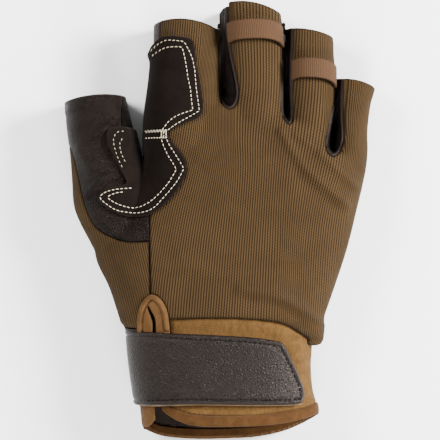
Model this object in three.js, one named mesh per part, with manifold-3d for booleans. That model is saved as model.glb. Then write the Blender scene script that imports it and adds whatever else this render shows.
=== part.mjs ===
// A right-hand half-finger climbing glove, lying on its palm.
// X runs from the thumb to the little finger, Y to the fingertips, Z up to the back of the hand.
// The origin is the middle of the palm, on the surface that the glove rests on. Sizes are in millimetres.
import * as THREE from 'three';
import { mergeVertices } from 'three/addons/utils/BufferGeometryUtils.js';
import Module from 'manifold-3d';

const wasm = await Module();
wasm.setup();

// Overall sizes of the laid-out glove
const gloveLength = 190; // cuff edge to the middle finger's hem
const gloveWidth = 134; // thumb to little finger
const handThickness = 35; // palm face to the back of the hand
const digitThickness = 25; // a finger, palm face to back
const seamHeight = 12; // the side seam between back and palm, above the surface
const underFlat = 4; // how far the underside is pressed flat

// Cloth, leather and the space between them
const wall = 1.3; // fabric, suede or leather of the shell
const seamGap = 0.3; // clearance between neighbouring pieces
const cuffThickness = handThickness - wall - seamGap; // the wrist tube is tucked into the hand
const patchThickness = 1.0;
const patchFoot = 4; // the patch stops this far above the surface
const bindingProud = 0.8; // how far a rolled binding stands out of the shell
const hemOverrun = 4 * wall; // how far a cutter runs past an open end

// Wrist strap: a hook tape under a leather face
const hookTapeThickness = 0.7;
const strapThickness = 1.3;
const strapWidth = 32;
const strapOnPalm = 24; // length of strap sewn to the palm side
const strapBackingShows = 0.5; // the tape shows this far past the leather

// Pull loops of webbing over two fingers
const loopThickness = 1.1;
const loopWidth = 9.5;
const loopLift = 1.4; // how far the loop stands off the finger at its highest

// Trim around the cuff and the wrist vent
const cuffBindingWidth = 4.6;
const palmCuffDrop = 5.8; // the palm side of the cuff is this much longer
const ventWidth = 2.4; // the open slit in the back of the wrist
const tapeOffset = bindingProud + seamGap; // the tape clears the bindings that it crosses
const strapOffset = tapeOffset + hookTapeThickness + seamGap;
const strapFloor = strapOffset + strapThickness; // room under the wrist for the strap

// Soft folds that stand up in the back of the hand
const foldWidth = 12;
const foldHeight = 3;
const foldSink = 1.7; // how deep a fold's middle line lies under the surface

const digitSteps = 11;
const palmSteps = 16;
const foldSteps = 8;
const underTurns = [1.1, 1.22, 1.36, 1.64, 1.78, 1.9]; // in half turns from the outer side seam
const curveSteps = 2; // straight pieces between two points of a smooth outline

// A place along the glove is v, a share of gloveLength from the middle of the palm, or at the wrist w,
// a share of strapWidth from the strap's middle line. u, left and right are shares of gloveWidth.
const strapMiddle = -0.34; // share of gloveLength

// Sections of the hand from the cuff to the finger roots: top is a share of handThickness
// and floor a share of strapFloor.
const handSections = [
  { w: 0.131, left: -0.29, right: 0.29, top: 0.93, floor: 0.8 },
  { w: 0.237, left: -0.297, right: 0.32, top: 0.97, floor: 0.6 },
  { w: 0.386, left: -0.288, right: 0.336, top: 1, floor: 0.4 },
  { w: 0.505, left: -0.297, right: 0.334, top: 1, floor: 0.3 },
  { w: 0.582, left: -0.323, right: 0.329, top: 1, floor: 0.2 },
  { w: 0.712, left: -0.334, right: 0.344, top: 0.99, floor: 0.1 },
  { w: 1.069, left: -0.362, right: 0.374, top: 1, floor: 0 },
  { v: -0.07, left: -0.41, right: 0.416, top: 1, floor: 0 },
  { v: 0.02, left: -0.34, right: 0.448, top: 0.98, floor: 0 },
  { v: 0.09, left: -0.27, right: 0.47, top: 0.94, floor: 0 },
  { v: 0.15, left: -0.24, right: 0.475, top: 0.87, floor: 0 },
  { v: 0.21, left: -0.24, right: 0.478, top: 0.77, floor: 0 },
  { v: 0.27, left: -0.24, right: 0.48, top: 0.7, floor: 0 },
];

// Sections of the wrist tube: top is a share of cuffThickness.
const cuffSections = [
  { w: -1.188, left: -0.235, right: 0.29, top: 0.947, floor: 1 },
  { w: -0.772, left: -0.25, right: 0.318, top: 0.998, floor: 1 },
  { w: -0.534, left: -0.256, right: 0.317, top: 0.987, floor: 1 },
  { w: -0.297, left: -0.264, right: 0.303, top: 0.967, floor: 1 },
  { w: 0, left: -0.274, right: 0.298, top: 0.957, floor: 1 },
  { w: 0.237, left: -0.28, right: 0.301, top: 0.957, floor: 1 },
  { w: 0.534, left: -0.285, right: 0.303, top: 0.967, floor: 1 },
  { w: 0.772, left: -0.29, right: 0.308, top: 0.982, floor: 0.8 },
];

// Digits: each runs from rootLength before its web, inside the hand, to length beyond it, both shares
// of gloveLength. width is a share of gloveWidth and thickness of digitThickness. hemBow and hemSlant
// shape the open end, in shares of the width, and loopAt is the middle of a pull loop, in shares of
// the length. In the rows, at runs from root to hem, and left and right are shares of the width.
const digits = {
  index: {
    web: { u: -0.108, v: 0.253 },
    aim: { u: 0.0, v: 1 },
    length: 0.1947,
    width: 0.2239,
    rootLength: 0.2316,
    thickness: 1,
    hemBow: 0.0733,
    hemSlant: 0.0333,
    rows: [
      { at: 0, left: -0.45, right: 0.5, top: 0.8 },
      { at: 0.3, left: -0.6, right: 0.58, top: 1.1 },
      { at: 0.5, left: -0.6, right: 0.57, top: 1.06 },
      { at: 0.68, left: -0.54, right: 0.5, top: 1 },
      { at: 0.84, left: -0.5, right: 0.49, top: 1 },
      { at: 1, left: -0.49, right: 0.465, top: 0.98 },
    ],
  },
  middle: {
    web: { u: 0.12, v: 0.235 },
    aim: { u: -0.077, v: 1 },
    length: 0.2474,
    width: 0.209,
    loopAt: 0.7915,
    rootLength: 0.1789,
    thickness: 1.02,
    hemBow: 0.0857,
    hemSlant: 0.1214,
    rows: [
      { at: 0, left: -0.4, right: 0.42, top: 0.8 },
      { at: 0.4, left: -0.46, right: 0.445, top: 1.06 },
      { at: 0.6, left: -0.47, right: 0.48, top: 1 },
      { at: 0.8, left: -0.465, right: 0.495, top: 0.98 },
      { at: 0.9, left: -0.475, right: 0.5, top: 0.98 },
      { at: 1, left: -0.49, right: 0.5, top: 0.96 },
    ],
  },
  ring: {
    web: { u: 0.296, v: 0.185 },
    aim: { u: -0.01, v: 1 },
    length: 0.2342,
    width: 0.1642,
    loopAt: 0.6809,
    rootLength: 0.1684,
    thickness: 0.95,
    hemBow: 0.0727,
    hemSlant: 0.0727,
    rows: [
      { at: 0, left: -0.4, right: 0.4, top: 0.8 },
      { at: 0.42, left: -0.46, right: 0.44, top: 1.06 },
      { at: 0.62, left: -0.475, right: 0.5, top: 1 },
      { at: 0.82, left: -0.465, right: 0.5, top: 0.98 },
      { at: 1, left: -0.475, right: 0.46, top: 0.96 },
    ],
  },
  little: {
    web: { u: 0.424, v: 0.12 },
    aim: { u: 0.055, v: 1 },
    length: 0.1816,
    width: 0.1269,
    rootLength: 0.1579,
    thickness: 0.88,
    hemBow: 0.0706,
    hemSlant: 0.0588,
    rows: [
      { at: 0, left: -0.4, right: 0.1, top: 0.6 },
      { at: 0.45, left: -0.46, right: 0.44, top: 1.06 },
      { at: 0.7, left: -0.44, right: 0.42, top: 1 },
      { at: 0.88, left: -0.43, right: 0.43, top: 1 },
      { at: 1, left: -0.44, right: 0.46, top: 0.98 },
    ],
  },
  thumb: {
    web: { u: -0.385, v: 0.135 },
    aim: { u: -0.125, v: 1 },
    length: 0.1421,
    width: 0.2239,
    rootLength: 0.2737,
    thickness: 1.06,
    hemBow: 0.04,
    hemSlant: 0.02,
    rows: [
      { at: 0, left: -0.1, right: 0.5, top: 0.8 },
      { at: 0.2, left: -0.31, right: 0.62, top: 1 },
      { at: 0.4, left: -0.49, right: 0.63, top: 1.1 },
      { at: 0.56, left: -0.483, right: 0.58, top: 1.06 },
      { at: 0.71, left: -0.463, right: 0.53, top: 1 },
      { at: 0.86, left: -0.466, right: 0.49, top: 0.98 },
      { at: 1, left: -0.44, right: 0.45, top: 0.96 },
    ],
  },
};

// Outlines seen from above: u is a share of gloveWidth, v a share of gloveLength.
const thumbSeam = [ // between thumb and hand, from beyond the thumb's hem down to the vent
  { u: -0.262, v: 0.36 },
  { u: -0.26, v: 0.15 },
  { u: -0.245, v: 0.12 },
  { u: -0.235, v: 0.08 },
  { u: -0.229, v: 0.01 },
  { u: -0.228, v: -0.05 },
];
const thumbLeatherEdge = [ // lower edge of the thumb's leather, from the seam to the outer side
  { u: -0.228, v: -0.05 },
  { u: -0.306, v: -0.05 },
  { u: -0.371, v: -0.034 },
  { u: -0.413, v: -0.007 },
  { u: -0.442, v: 0.043 },
  { u: -0.461, v: 0.1 },
  { u: -0.481, v: 0.153 },
  { u: -0.5, v: 0.174 },
];
const thumbSideSeam = [ // the seam inside the thumb, from its hem to the crotch
  { u: -0.318, v: 0.36 },
  { u: -0.319, v: 0.215 },
  { u: -0.318, v: 0.14 },
  { u: -0.295, v: 0.1 },
  { u: -0.24, v: 0.1 },
];
const indexFabricEdge = [ // where the fabric of the index finger meets the leather of its thumb side
  { u: -0.192, v: 0.6 },
  { u: -0.196, v: 0.4 },
  { u: -0.2, v: 0.27 },
  { u: -0.212, v: 0.15 },
  { u: -0.235, v: 0.08 },
];
const webStrips = { // leather side walls between two fingers, down one fabric edge and up the next
  index: [
    { u: -0.022, v: 0.65 },
    { u: -0.02, v: 0.475 },
    { u: -0.003, v: 0.452 },
    { u: 0.0, v: 0.3 },
    { u: 0.008, v: 0.262 },
    { u: 0.029, v: 0.248 },
    { u: 0.053, v: 0.27 },
    { u: 0.057, v: 0.3 },
    { u: 0.045, v: 0.35 },
    { u: 0.03, v: 0.42 },
    { u: 0.024, v: 0.65 },
  ],
  middle: [
    { u: 0.206, v: 0.65 },
    { u: 0.206, v: 0.4 },
    { u: 0.2, v: 0.29 },
    { u: 0.198, v: 0.25 },
    { u: 0.219, v: 0.214 },
    { u: 0.236, v: 0.24 },
    { u: 0.237, v: 0.29 },
    { u: 0.234, v: 0.4 },
    { u: 0.235, v: 0.65 },
  ],
  ring: [
    { u: 0.372, v: 0.65 },
    { u: 0.369, v: 0.3 },
    { u: 0.356, v: 0.225 },
    { u: 0.342, v: 0.18 },
    { u: 0.361, v: 0.14 },
    { u: 0.39, v: 0.17 },
    { u: 0.397, v: 0.21 },
    { u: 0.399, v: 0.3 },
    { u: 0.4, v: 0.65 },
  ],
};
const webLine = [ // distal end of the hand, from thumb crotch to the outer side, through the webs
  { u: -0.6, v: 0.1 },
  { u: -0.3, v: 0.13 },
  { u: -0.24, v: 0.14 },
  { u: -0.1, v: 0.24 },
  { u: 0.029, v: 0.262 },
  { u: 0.12, v: 0.246 },
  { u: 0.219, v: 0.229 },
  { u: 0.29, v: 0.2 },
  { u: 0.361, v: 0.157 },
  { u: 0.44, v: 0.14 },
  { u: 0.6, v: 0.12 },
];
const backWristEdge = [ // lower edge of the back panel, from the vent to the outer side
  { u: -0.2, w: 0.665 },
  { u: 0.03, w: 0.677 },
  { u: 0.168, w: 0.635 },
  { u: 0.235, w: 0.552 },
  { u: 0.28, w: 0.457 },
  { u: 0.303, w: 0.362 },
  { u: 0.31, w: 0.226 },
  { u: 0.42, w: 0.166 },
];
const ventOval = [ // the bound end of the wrist vent, from its left leg over the top to the right
  { u: -0.262, w: 0.475 },
  { u: -0.262, w: 0.677 },
  { u: -0.25, w: 0.867 },
  { u: -0.223, w: 0.986 },
  { u: -0.194, w: 0.938 },
  { u: -0.173, w: 0.784 },
  { u: -0.165, w: 0.564 },
];
const ventLine = [ // middle of the open slit, from the top of the vent down
  { u: -0.222, w: 0.849 },
  { u: -0.217, w: 0.475 },
  { u: -0.208, w: -0.119 },
  { u: -0.2, w: -0.534 },
  { u: -0.19, w: -1.306 },
];
const cuffEdge = [ // lower edge of the cuff's back, from the vent's rounded corner to the outer side
  { u: -0.2, w: -0.534 },
  { u: -0.177, w: -0.612 },
  { u: -0.13, w: -0.718 },
  { u: -0.06, w: -0.778 },
  { u: 0.12, w: -0.772 },
  { u: 0.26, w: -0.701 },
  { u: 0.42, w: -0.534 },
];
const patchEdge = [ // the stitched patch over the index finger's side and the thumb crotch
  { u: -0.262, v: 0.385 },
  { u: -0.226, v: 0.388 },
  { u: -0.206, v: 0.405 },
  { u: -0.172, v: 0.416 },
  { u: -0.13, v: 0.418 },
  { u: -0.1, v: 0.411 },
  { u: -0.084, v: 0.394 },
  { u: -0.065, v: 0.317 },
  { u: -0.055, v: 0.262 },
  { u: -0.06, v: 0.242 },
  { u: -0.09, v: 0.228 },
  { u: -0.135, v: 0.212 },
  { u: -0.158, v: 0.2 },
  { u: -0.158, v: 0.185 },
  { u: -0.138, v: 0.164 },
  { u: -0.116, v: 0.141 },
  { u: -0.106, v: 0.119 },
  { u: -0.116, v: 0.089 },
  { u: -0.142, v: 0.059 },
  { u: -0.177, v: 0.034 },
  { u: -0.22, v: 0.016 },
  { u: -0.265, v: 0.004 },
  { u: -0.31, v: 0.007 },
  { u: -0.355, v: 0.018 },
  { u: -0.384, v: 0.039 },
  { u: -0.39, v: 0.053 },
  { u: -0.374, v: 0.066 },
  { u: -0.345, v: 0.075 },
  { u: -0.313, v: 0.08 },
  { u: -0.306, v: 0.096 },
  { u: -0.323, v: 0.128 },
  { u: -0.339, v: 0.158 },
  { u: -0.348, v: 0.185 },
  { u: -0.339, v: 0.201 },
  { u: -0.31, v: 0.21 },
  { u: -0.262, v: 0.212 },
];

const folds = [ // middle lines of the folds; size is a share of their width and height
  [
    { u: 0.187, v: 0.203, size: 0.55 },
    { u: 0.226, v: 0.16, size: 0.9 },
    { u: 0.29, v: 0.103, size: 1 },
    { u: 0.352, v: 0.066, size: 1 },
    { u: 0.4, v: 0.032, size: 0.7 },
  ],
  [
    { u: 0.32, v: 0.152, size: 0.55 },
    { u: 0.361, v: 0.121, size: 0.9 },
    { u: 0.397, v: 0.098, size: 0.9 },
    { u: 0.432, v: 0.075, size: 0.6 },
  ],
  [
    { u: 0.14, v: -0.168, size: 0.55 },
    { u: 0.22, v: -0.19, size: 0.9 },
    { u: 0.28, v: -0.217, size: 0.9 },
    { u: 0.32, v: -0.236, size: 0.6 },
  ],
];

const strapEdge = [ // from the thumb side along the top, round the clipped end and back along the bottom
  { u: -0.3, w: 0.5 },
  { u: -0.065, w: 0.47 },
  { u: 0.1, w: 0.43 },
  { u: 0.18, w: 0.38 },
  { u: 0.206, w: 0.33 },
  { u: 0.232, w: 0.12 },
  { u: 0.258, w: -0.11 },
  { u: 0.274, w: -0.32 },
  { u: 0.268, w: -0.43 },
  { u: 0.245, w: -0.473 },
  { u: 0.1, w: -0.473 },
  { u: -0.065, w: -0.465 },
  { u: -0.177, w: -0.486 },
  { u: -0.3, w: -0.52 },
];
const joinStart = 0.6; // between these shares of strapWidth the palm side widens into the hand
const joinEnd = 0.8;
const loopPath = [ // turn runs from the outer side seam, 0, over the finger to the inner one, 1
  // lift is a share of loopLift and sag a share of loopWidth towards the wrist
  { turn: 0.12, lift: 0, sag: 0.76 },
  { turn: 0.17, lift: 0.35, sag: 0.64 },
  { turn: 0.23, lift: 0.75, sag: 0.46 },
  { turn: 0.3, lift: 0.95, sag: 0.28 },
  { turn: 0.38, lift: 1, sag: 0.13 },
  { turn: 0.47, lift: 0.9, sag: 0.04 },
  { turn: 0.56, lift: 0.7, sag: 0 },
  { turn: 0.65, lift: 0.4, sag: 0 },
  { turn: 0.735, lift: 0.1, sag: 0.04 },
];

const strapMiddleY = strapMiddle * gloveLength;
const alongY = ({ v, w }) => (v === undefined ? strapMiddleY + w * strapWidth : v * gloveLength);
const toPlan = (place) => new THREE.Vector2(place.u * gloveWidth, alongY(place));

// A smooth line through the rows of a table.
function smooth(rows) {
  return new THREE.SplineCurve(rows.map(toPlan)).getPoints((rows.length - 1) * curveSteps);
}

const straight = (rows) => rows.map(toPlan);

const samePoint = 0.01; // points closer than this are one
const sharpestMitre = 0.5; // keeps sharp corners from running away

// Moves every point of a closed outline outwards by a distance, or inwards if it is negative.
function grow(outline, distance) {
  const distinct = outline.filter((point, i) => point.distanceTo(outline.at(i - 1)) > samePoint);
  const points = THREE.ShapeUtils.isClockWise(distinct) ? distinct.reverse() : distinct;
  return points.map((point, i) => {
    const before = point.clone().sub(points[(i + points.length - 1) % points.length]).normalize();
    const after = points[(i + 1) % points.length].clone().sub(point).normalize();
    const normal = new THREE.Vector2(before.y + after.y, -before.x - after.x).normalize();
    const mitre = Math.max(sharpestMitre, normal.dot(new THREE.Vector2(before.y, -before.x)));
    return point.clone().addScaledVector(normal, distance / mitre);
  });
}

// A closed solid from a three.js geometry.
function solid(geometry) {
  const plain = geometry.index ? geometry.toNonIndexed() : geometry.clone();
  plain.deleteAttribute('normal');
  plain.deleteAttribute('uv');
  const merged = mergeVertices(plain, 1e-4);
  return new wasm.Manifold(new wasm.Mesh({
    numProp: 3,
    vertProperties: merged.attributes.position.array,
    triVerts: new Uint32Array(merged.index.array),
  }));
}

const above = 4 * handThickness;

// The upright prism over an outline.
function prism(outline, low = -above, high = above) {
  const shape = new THREE.Shape(outline);
  const geometry = new THREE.ExtrudeGeometry(shape, { depth: high - low, bevelEnabled: false });
  return solid(geometry.translate(0, 0, low));
}

// The slab between two heights.
function slab(low, high) {
  const reach = 4 * gloveLength;
  return solid(new THREE.BoxGeometry(reach, reach, high - low).translate(0, 0, (low + high) / 2));
}

// A tube through rings of points, closed at both ends.
function tube(rings) {
  const sides = rings[0].length;
  const middles = [rings[0], rings.at(-1)].map((ring) =>
    ring.reduce((sum, p) => sum.add(p), new THREE.Vector3()).divideScalar(sides));
  const points = [...rings.flat(), ...middles];
  const faces = [];
  const startMiddle = points.length - 2;
  const endMiddle = points.length - 1;
  const lastRing = (rings.length - 1) * sides;
  for (let i = 0; i < sides; i += 1) {
    const next = (i + 1) % sides;
    for (let r = 0; r < lastRing; r += sides) {
      faces.push(r + i, r + sides + i, r + sides + next, r + i, r + sides + next, r + next);
    }
    faces.push(startMiddle, i, next, endMiddle, lastRing + next, lastRing + i);
  }
  const geometry = new THREE.BufferGeometry().setFromPoints(points);
  geometry.setIndex(faces);
  return solid(geometry);
}

// A point of a flattened oval at an angle from its right side: side and axis lie in the plan.
function ovalPoint(oval, angle, offset) {
  const { centre, side, axis, left, right, top, floor, power, bow = 0, slant = 0 } = oval;
  const rise = (value) => Math.sign(value) * Math.abs(value) ** (2 / power);
  const sideways = rise(Math.cos(angle));
  const up = rise(Math.sin(angle));
  const height = (up > 0 ? top : 2 * seamHeight + underFlat) - seamHeight + offset;
  const along = bow * (1 - sideways * sideways) * (up > 0 ? 1 : -0.5) - slant * sideways;
  const z = Math.max(seamHeight + height * up, floor - offset);
  return new THREE.Vector3(centre.x, centre.y, z)
    .addScaledVector(side, (left + right) / 2 + ((right - left) / 2 + offset) * sideways)
    .addScaledVector(axis, along);
}

// The oval's outline: evenly stepped over its back, with a few points round its flat underside.
function ring(oval, offset) {
  const overBack = Array.from({ length: oval.steps + 1 }, (_, i) => i / oval.steps);
  return [...overBack, ...underTurns].map((turn) => ovalPoint(oval, turn * Math.PI, offset));
}

const bodyPower = 2.5; // how square the hand and wrist are: 2 is an ellipse
const digitPower = 2.2;
const across = new THREE.Vector3(1, 0, 0);
const forward = new THREE.Vector3(0, 1, 0);

// The tube through hand or wrist sections, at an offset from the outer surface.
function sectionTube(sections, offset) {
  return tube(sections.map(({ y, left, right, top, floor }) => ring({
    centre: new THREE.Vector3(0, y, 0),
    side: across,
    axis: forward,
    left,
    right,
    top,
    floor,
    power: bodyPower,
    steps: palmSteps,
  }, offset)));
}

// Where a digit starts, ends and points.
function digitLine({ web, aim, length, rootLength }) {
  const direction = new THREE.Vector3(aim.u, aim.v, 0).normalize();
  const side = new THREE.Vector3(direction.y, -direction.x, 0);
  const start = new THREE.Vector3(...toPlan(web), 0).addScaledVector(direction, -rootLength * gloveLength);
  return { direction, start, side, reach: (rootLength + length) * gloveLength };
}

// The oval of one digit at a row of its table.
function digitOval(digit, { at, left, right, top }) {
  const { direction, start, side, reach } = digitLine(digit);
  return {
    centre: start.clone().addScaledVector(direction, at * reach),
    side,
    axis: direction,
    left: left * digit.width * gloveWidth,
    right: right * digit.width * gloveWidth,
    top: top * digit.thickness * digitThickness,
    floor: 0,
    power: digitPower,
    steps: digitSteps,
    bow: at === 1 ? digit.hemBow * digit.width * gloveWidth : 0,
    slant: at === 1 ? digit.hemSlant * digit.width * gloveWidth : 0,
  };
}

// The tube of one digit at an offset from its outer surface, run on past its hem.
function digitTube(digit, offset, overrun = 0) {
  const { direction } = digitLine(digit);
  const rings = digit.rows.map((row) => ring(digitOval(digit, row), offset));
  if (overrun) {
    rings.push(rings.at(-1).map((point) => point.clone().addScaledVector(direction, overrun)));
  }
  return tube(rings);
}

// Rows of a section table in millimetres.
const measured = (sections, thickness) => sections.map((row) => ({
  y: alongY(row),
  left: row.left * gloveWidth,
  right: row.right * gloveWidth,
  top: row.top * thickness,
  floor: row.floor * strapFloor,
}));
const handRows = measured(handSections, handThickness);
const cuffRows = measured(cuffSections, cuffThickness);
// The palm side follows the wrist tube under the strap, and the hand beyond it.
const joinedRows = [
  ...measured(cuffSections.filter(({ w }) => w < joinStart), cuffThickness),
  ...measured(handSections.filter(({ w = Infinity }) => w > joinEnd), handThickness),
];

// Height of the hand's back over a point of the plan.
function backHeight({ x, y }) {
  const after = handRows.findIndex((row) => row.y > y);
  const [a, b] = [handRows[after - 1], handRows[after]];
  const blend = (key) => THREE.MathUtils.mapLinear(y, a.y, b.y, a[key], b[key]);
  const [left, right] = [blend('left'), blend('right')];
  const sideways = Math.min(1, Math.abs((2 * x - left - right) / (right - left)));
  return seamHeight + (blend('top') - seamHeight) * (1 - sideways ** bodyPower) ** (1 / bodyPower);
}

// One soft fold: a flattened tube half sunk into the back of the hand.
function foldTube(rows, offset) {
  const line = rows.map(toPlan);
  return tube(rows.map(({ size }, i) => {
    const along = line[Math.min(i + 1, line.length - 1)].clone().sub(line[Math.max(i - 1, 0)]).normalize();
    const middle = new THREE.Vector3(line[i].x, line[i].y, backHeight(line[i]) - foldSink);
    return Array.from({ length: foldSteps }, (_, k) => {
      const angle = (-2 * Math.PI * k) / foldSteps;
      const aside = (foldWidth / 2 * size + offset) * Math.cos(angle);
      const up = (foldHeight * size + offset) * Math.sin(angle);
      return middle.clone().add(new THREE.Vector3(-along.y * aside, along.x * aside, up));
    });
  }));
}

// The hand with its digits, over either set of rows, at an offset from the outer surface.
function form(rows, offset, overrun = 0) {
  const longer = { ...rows[0], y: rows[0].y - overrun };
  const limit = [...smooth(webLine), ...straight([{ u: 0.6, v: -0.8 }, { u: -0.6, v: -0.8 }])];
  const hand = sectionTube([longer, ...rows], offset).intersect(prism(grow(limit, offset)));
  const folded = folds.reduce((sum, rows) => sum.add(foldTube(rows, offset)), hand);
  return Object.values(digits).reduce((sum, digit) => sum.add(digitTube(digit, offset, overrun)), folded);
}

// The shell of a form: its outer solid without the hollow, which runs out at every opening.
function shell(rows) {
  return form(rows, 0).subtract(form(rows, -wall, hemOverrun));
}

// Cuts along an outline: what lies inside it, or outside it, each half a gap away from the line.
const inside = (body, outline) => body.intersect(prism(grow(outline, -seamGap / 2)));
const outside = (body, outline) => body.subtract(prism(grow(outline, seamGap / 2)));

const farLeft = { u: -0.7 };
const farRight = { u: 0.7 };
const thumbLeatherOutline = [
  ...smooth(thumbSeam),
  ...smooth(thumbLeatherEdge).slice(1),
  ...straight([{ ...farLeft, v: 0.174 }, { ...farLeft, v: 0.5 }, { u: -0.262, v: 0.5 }]),
];
const thumbSideOutline = [
  ...smooth(thumbSideSeam),
  ...straight([{ u: -0.1, v: 0.1 }, { u: -0.1, v: 0.5 }, { u: -0.318, v: 0.5 }]),
];
const backFoot = 0.525; // the panels over the strap end here, a share of strapWidth
const thumbBackOutline = [
  ...smooth(thumbLeatherEdge),
  ...straight([
    { ...farLeft, v: 0.174 },
    { ...farLeft, w: backFoot },
    { u: -0.224, w: backFoot },
    { u: -0.224, v: -0.2 },
  ]),
];
const indexSideOutline = [
  ...smooth(indexFabricEdge),
  ...smooth(thumbSeam.slice(0, 4)).reverse(),
  ...straight([{ u: -0.262, v: 0.6 }]),
];
const backOutline = [
  ...smooth(backWristEdge),
  ...straight([{ ...farRight, v: 0.7 }, { ...farLeft, v: 0.7 }, { ...farLeft, w: backWristEdge[0].w }]),
];
const handSideOutline = [ // everything on the finger side of the thumb seam
  ...smooth(thumbSeam),
  ...straight([
    { u: -0.224, v: -0.2 },
    { u: -0.224, v: -0.8 },
    { ...farRight, v: -0.8 },
    { ...farRight, v: 0.7 },
    { u: -0.262, v: 0.7 },
  ]),
];
const ventOutline = [
  ...smooth(ventOval),
  ...straight([
    { u: -0.165, w: -0.416 },
    { u: -0.19, w: -0.499 },
    { u: -0.2, w: -0.534 },
    { u: -0.2, v: -0.6 },
    { u: -0.262, v: -0.6 },
  ]),
];

// The slit is a ribbon of the vent's width around its middle line.
function ribbon(rows, width) {
  const line = smooth(rows);
  const away = line.map((point, i) => {
    const along = line[Math.min(i + 1, line.length - 1)].clone().sub(line[Math.max(i - 1, 0)]).normalize();
    return new THREE.Vector2(-along.y, along.x).multiplyScalar(width / 2);
  });
  return [
    ...line.map((point, i) => point.clone().add(away[i])),
    ...line.map((point, i) => point.clone().sub(away[i])).reverse(),
  ];
}

// The cuff's lower edge, moved along the length, closed far above.
function cuffOutline(shift) {
  const edge = smooth(cuffEdge).map((point) => point.clone().add(new THREE.Vector2(0, shift)));
  return [...edge, ...straight([{ u: cuffEdge.at(-1).u, v: 0.2 }, { u: cuffEdge[0].u, v: 0.2 }])];
}

// The palm's lower edge is the same line on its longer side, run on to the thumb side.
function palmOutline(shift) {
  const thumbEnd = [{ u: -0.4, w: -0.356 }, { u: -0.27, w: -0.57 }, { u: -0.22, w: -0.712 }];
  const outerEnd = [{ u: 0.31, w: -0.552 }, { u: 0.42, w: -0.356 }];
  const edge = smooth([...thumbEnd, ...cuffEdge.slice(3, -1), ...outerEnd])
    .map((point) => point.clone().add(new THREE.Vector2(0, shift - palmCuffDrop)));
  const beyond = [{ ...farRight, w: outerEnd[1].w }, { ...farRight, v: 0.8 }, { ...farLeft, v: 0.8 }];
  return [...edge, ...straight(beyond)];
}

const backHalf = slab(seamHeight + seamGap / 2, above);
const palmHalf = slab(-above, seamHeight - seamGap / 2);
const handShell = shell(handRows);
const joinedShell = shell(joinedRows);
const slit = prism(ribbon(ventLine, ventWidth), seamHeight, above);

// Fabric of the back, with the backs of the four fingers.
function backPanel() {
  let piece = handShell.intersect(backHalf);
  for (const strip of Object.values(webStrips)) piece = outside(piece, smooth(strip));
  piece = outside(piece, indexSideOutline);
  piece = outside(piece, ventOutline);
  piece = inside(piece, backOutline);
  return inside(piece, handSideOutline);
}

// Fabric on the back of the thumb's root.
function thumbBackPanel() {
  return outside(inside(handShell.intersect(backHalf), thumbBackOutline), ventOutline);
}

// Leather of the thumb, and the narrow panel on its inner side.
function thumbPanel() {
  return outside(inside(handShell, thumbLeatherOutline), thumbSideOutline);
}

function thumbSidePanel() {
  return inside(inside(handShell, thumbLeatherOutline), thumbSideOutline);
}

// Leather palm with the fronts of the fingers; it wraps round the index finger and the wrist.
function palmPanel() {
  const wrap = prism(grow(indexSideOutline, -seamGap / 2));
  const wristWrap = prism(grow(straight([
    { ...farLeft, w: backFoot },
    { u: ventOval[0].u, w: backFoot },
    { u: ventOval[0].u, v: -0.8 },
    { ...farLeft, v: -0.8 },
  ]), -seamGap));
  let piece = joinedShell.intersect(palmHalf.add(wrap).add(wristWrap));
  piece = outside(piece, thumbLeatherOutline);
  for (const strip of Object.values(webStrips)) piece = outside(piece, smooth(strip));
  return inside(piece, palmOutline(cuffBindingWidth));
}

// Leather side walls and web between two neighbouring fingers.
const fourchette = (finger) => inside(handShell, smooth(webStrips[finger]));

// The thickness of wrist tube between two offsets from its outer surface.
function cuffLayer(low, high) {
  const [first, last] = [cuffRows[0], cuffRows.at(-1)];
  const longer = [{ ...first, y: first.y - hemOverrun }, ...cuffRows, { ...last, y: last.y + hemOverrun }];
  return sectionTube(cuffRows, high).subtract(sectionTube(longer, low));
}

function cuffBand() {
  const band = cuffLayer(-wall, 0).intersect(backHalf);
  return outside(inside(band, cuffOutline(cuffBindingWidth)), ventOutline);
}

// Rolled trims: they stand proud of the shell.
function cuffBinding() {
  const rim = cuffLayer(-wall, bindingProud).intersect(backHalf).subtract(slit);
  const edge = outside(inside(rim, cuffOutline(0)), cuffOutline(cuffBindingWidth));
  return outside(edge, ventOutline);
}

const proudShell = form(joinedRows, bindingProud).subtract(form(joinedRows, -wall, hemOverrun));

function palmBinding() {
  const rim = inside(proudShell.intersect(palmHalf), palmOutline(0));
  return outside(rim, palmOutline(cuffBindingWidth));
}

function ventBinding() {
  const rim = inside(proudShell.intersect(backHalf), ventOutline);
  return inside(rim, palmOutline(0)).subtract(slit);
}

// The patch is a second layer of suede over the thumb crotch, clear of the shell.
function crotchPatch() {
  const low = seamGap;
  const layer = form(handRows, low + patchThickness).subtract(form(handRows, low, hemOverrun));
  return layer.intersect(prism(smooth([...patchEdge, patchEdge[0]]))).intersect(slab(patchFoot, above));
}

// A webbing loop bows over the back of a finger, sewn in at both side seams, clear of its neighbour.
function pullLoop(digit, neighbour) {
  const { direction } = digitLine(digit);
  const { length, rootLength, loopAt, rows } = digit;
  const at = (rootLength + loopAt * length) / (rootLength + length);
  const after = rows.findIndex((row) => row.at > at);
  const [a, b] = [rows[after - 1], rows[after]];
  const widest = (key, pick) => pick(a[key], b[key]);
  const oval = digitOval(digit, {
    at,
    left: widest('left', Math.min),
    right: widest('right', Math.max),
    top: widest('top', Math.max),
  });
  const loop = tube(loopPath.map(({ turn, lift, sag }) => {
    const low = seamGap + lift * loopLift;
    const [under, over] = [low, low + loopThickness].map((offset) => ovalPoint(oval, turn * Math.PI, offset));
    const along = (point, share) => point.clone().addScaledVector(direction, (share - sag) * loopWidth);
    return [along(under, 0.5), along(over, 0.5), along(over, -0.5), along(under, -0.5)];
  }));
  return loop.subtract(digitTube(neighbour, seamGap)).subtract(digitTube(digit, seamGap));
}

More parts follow.
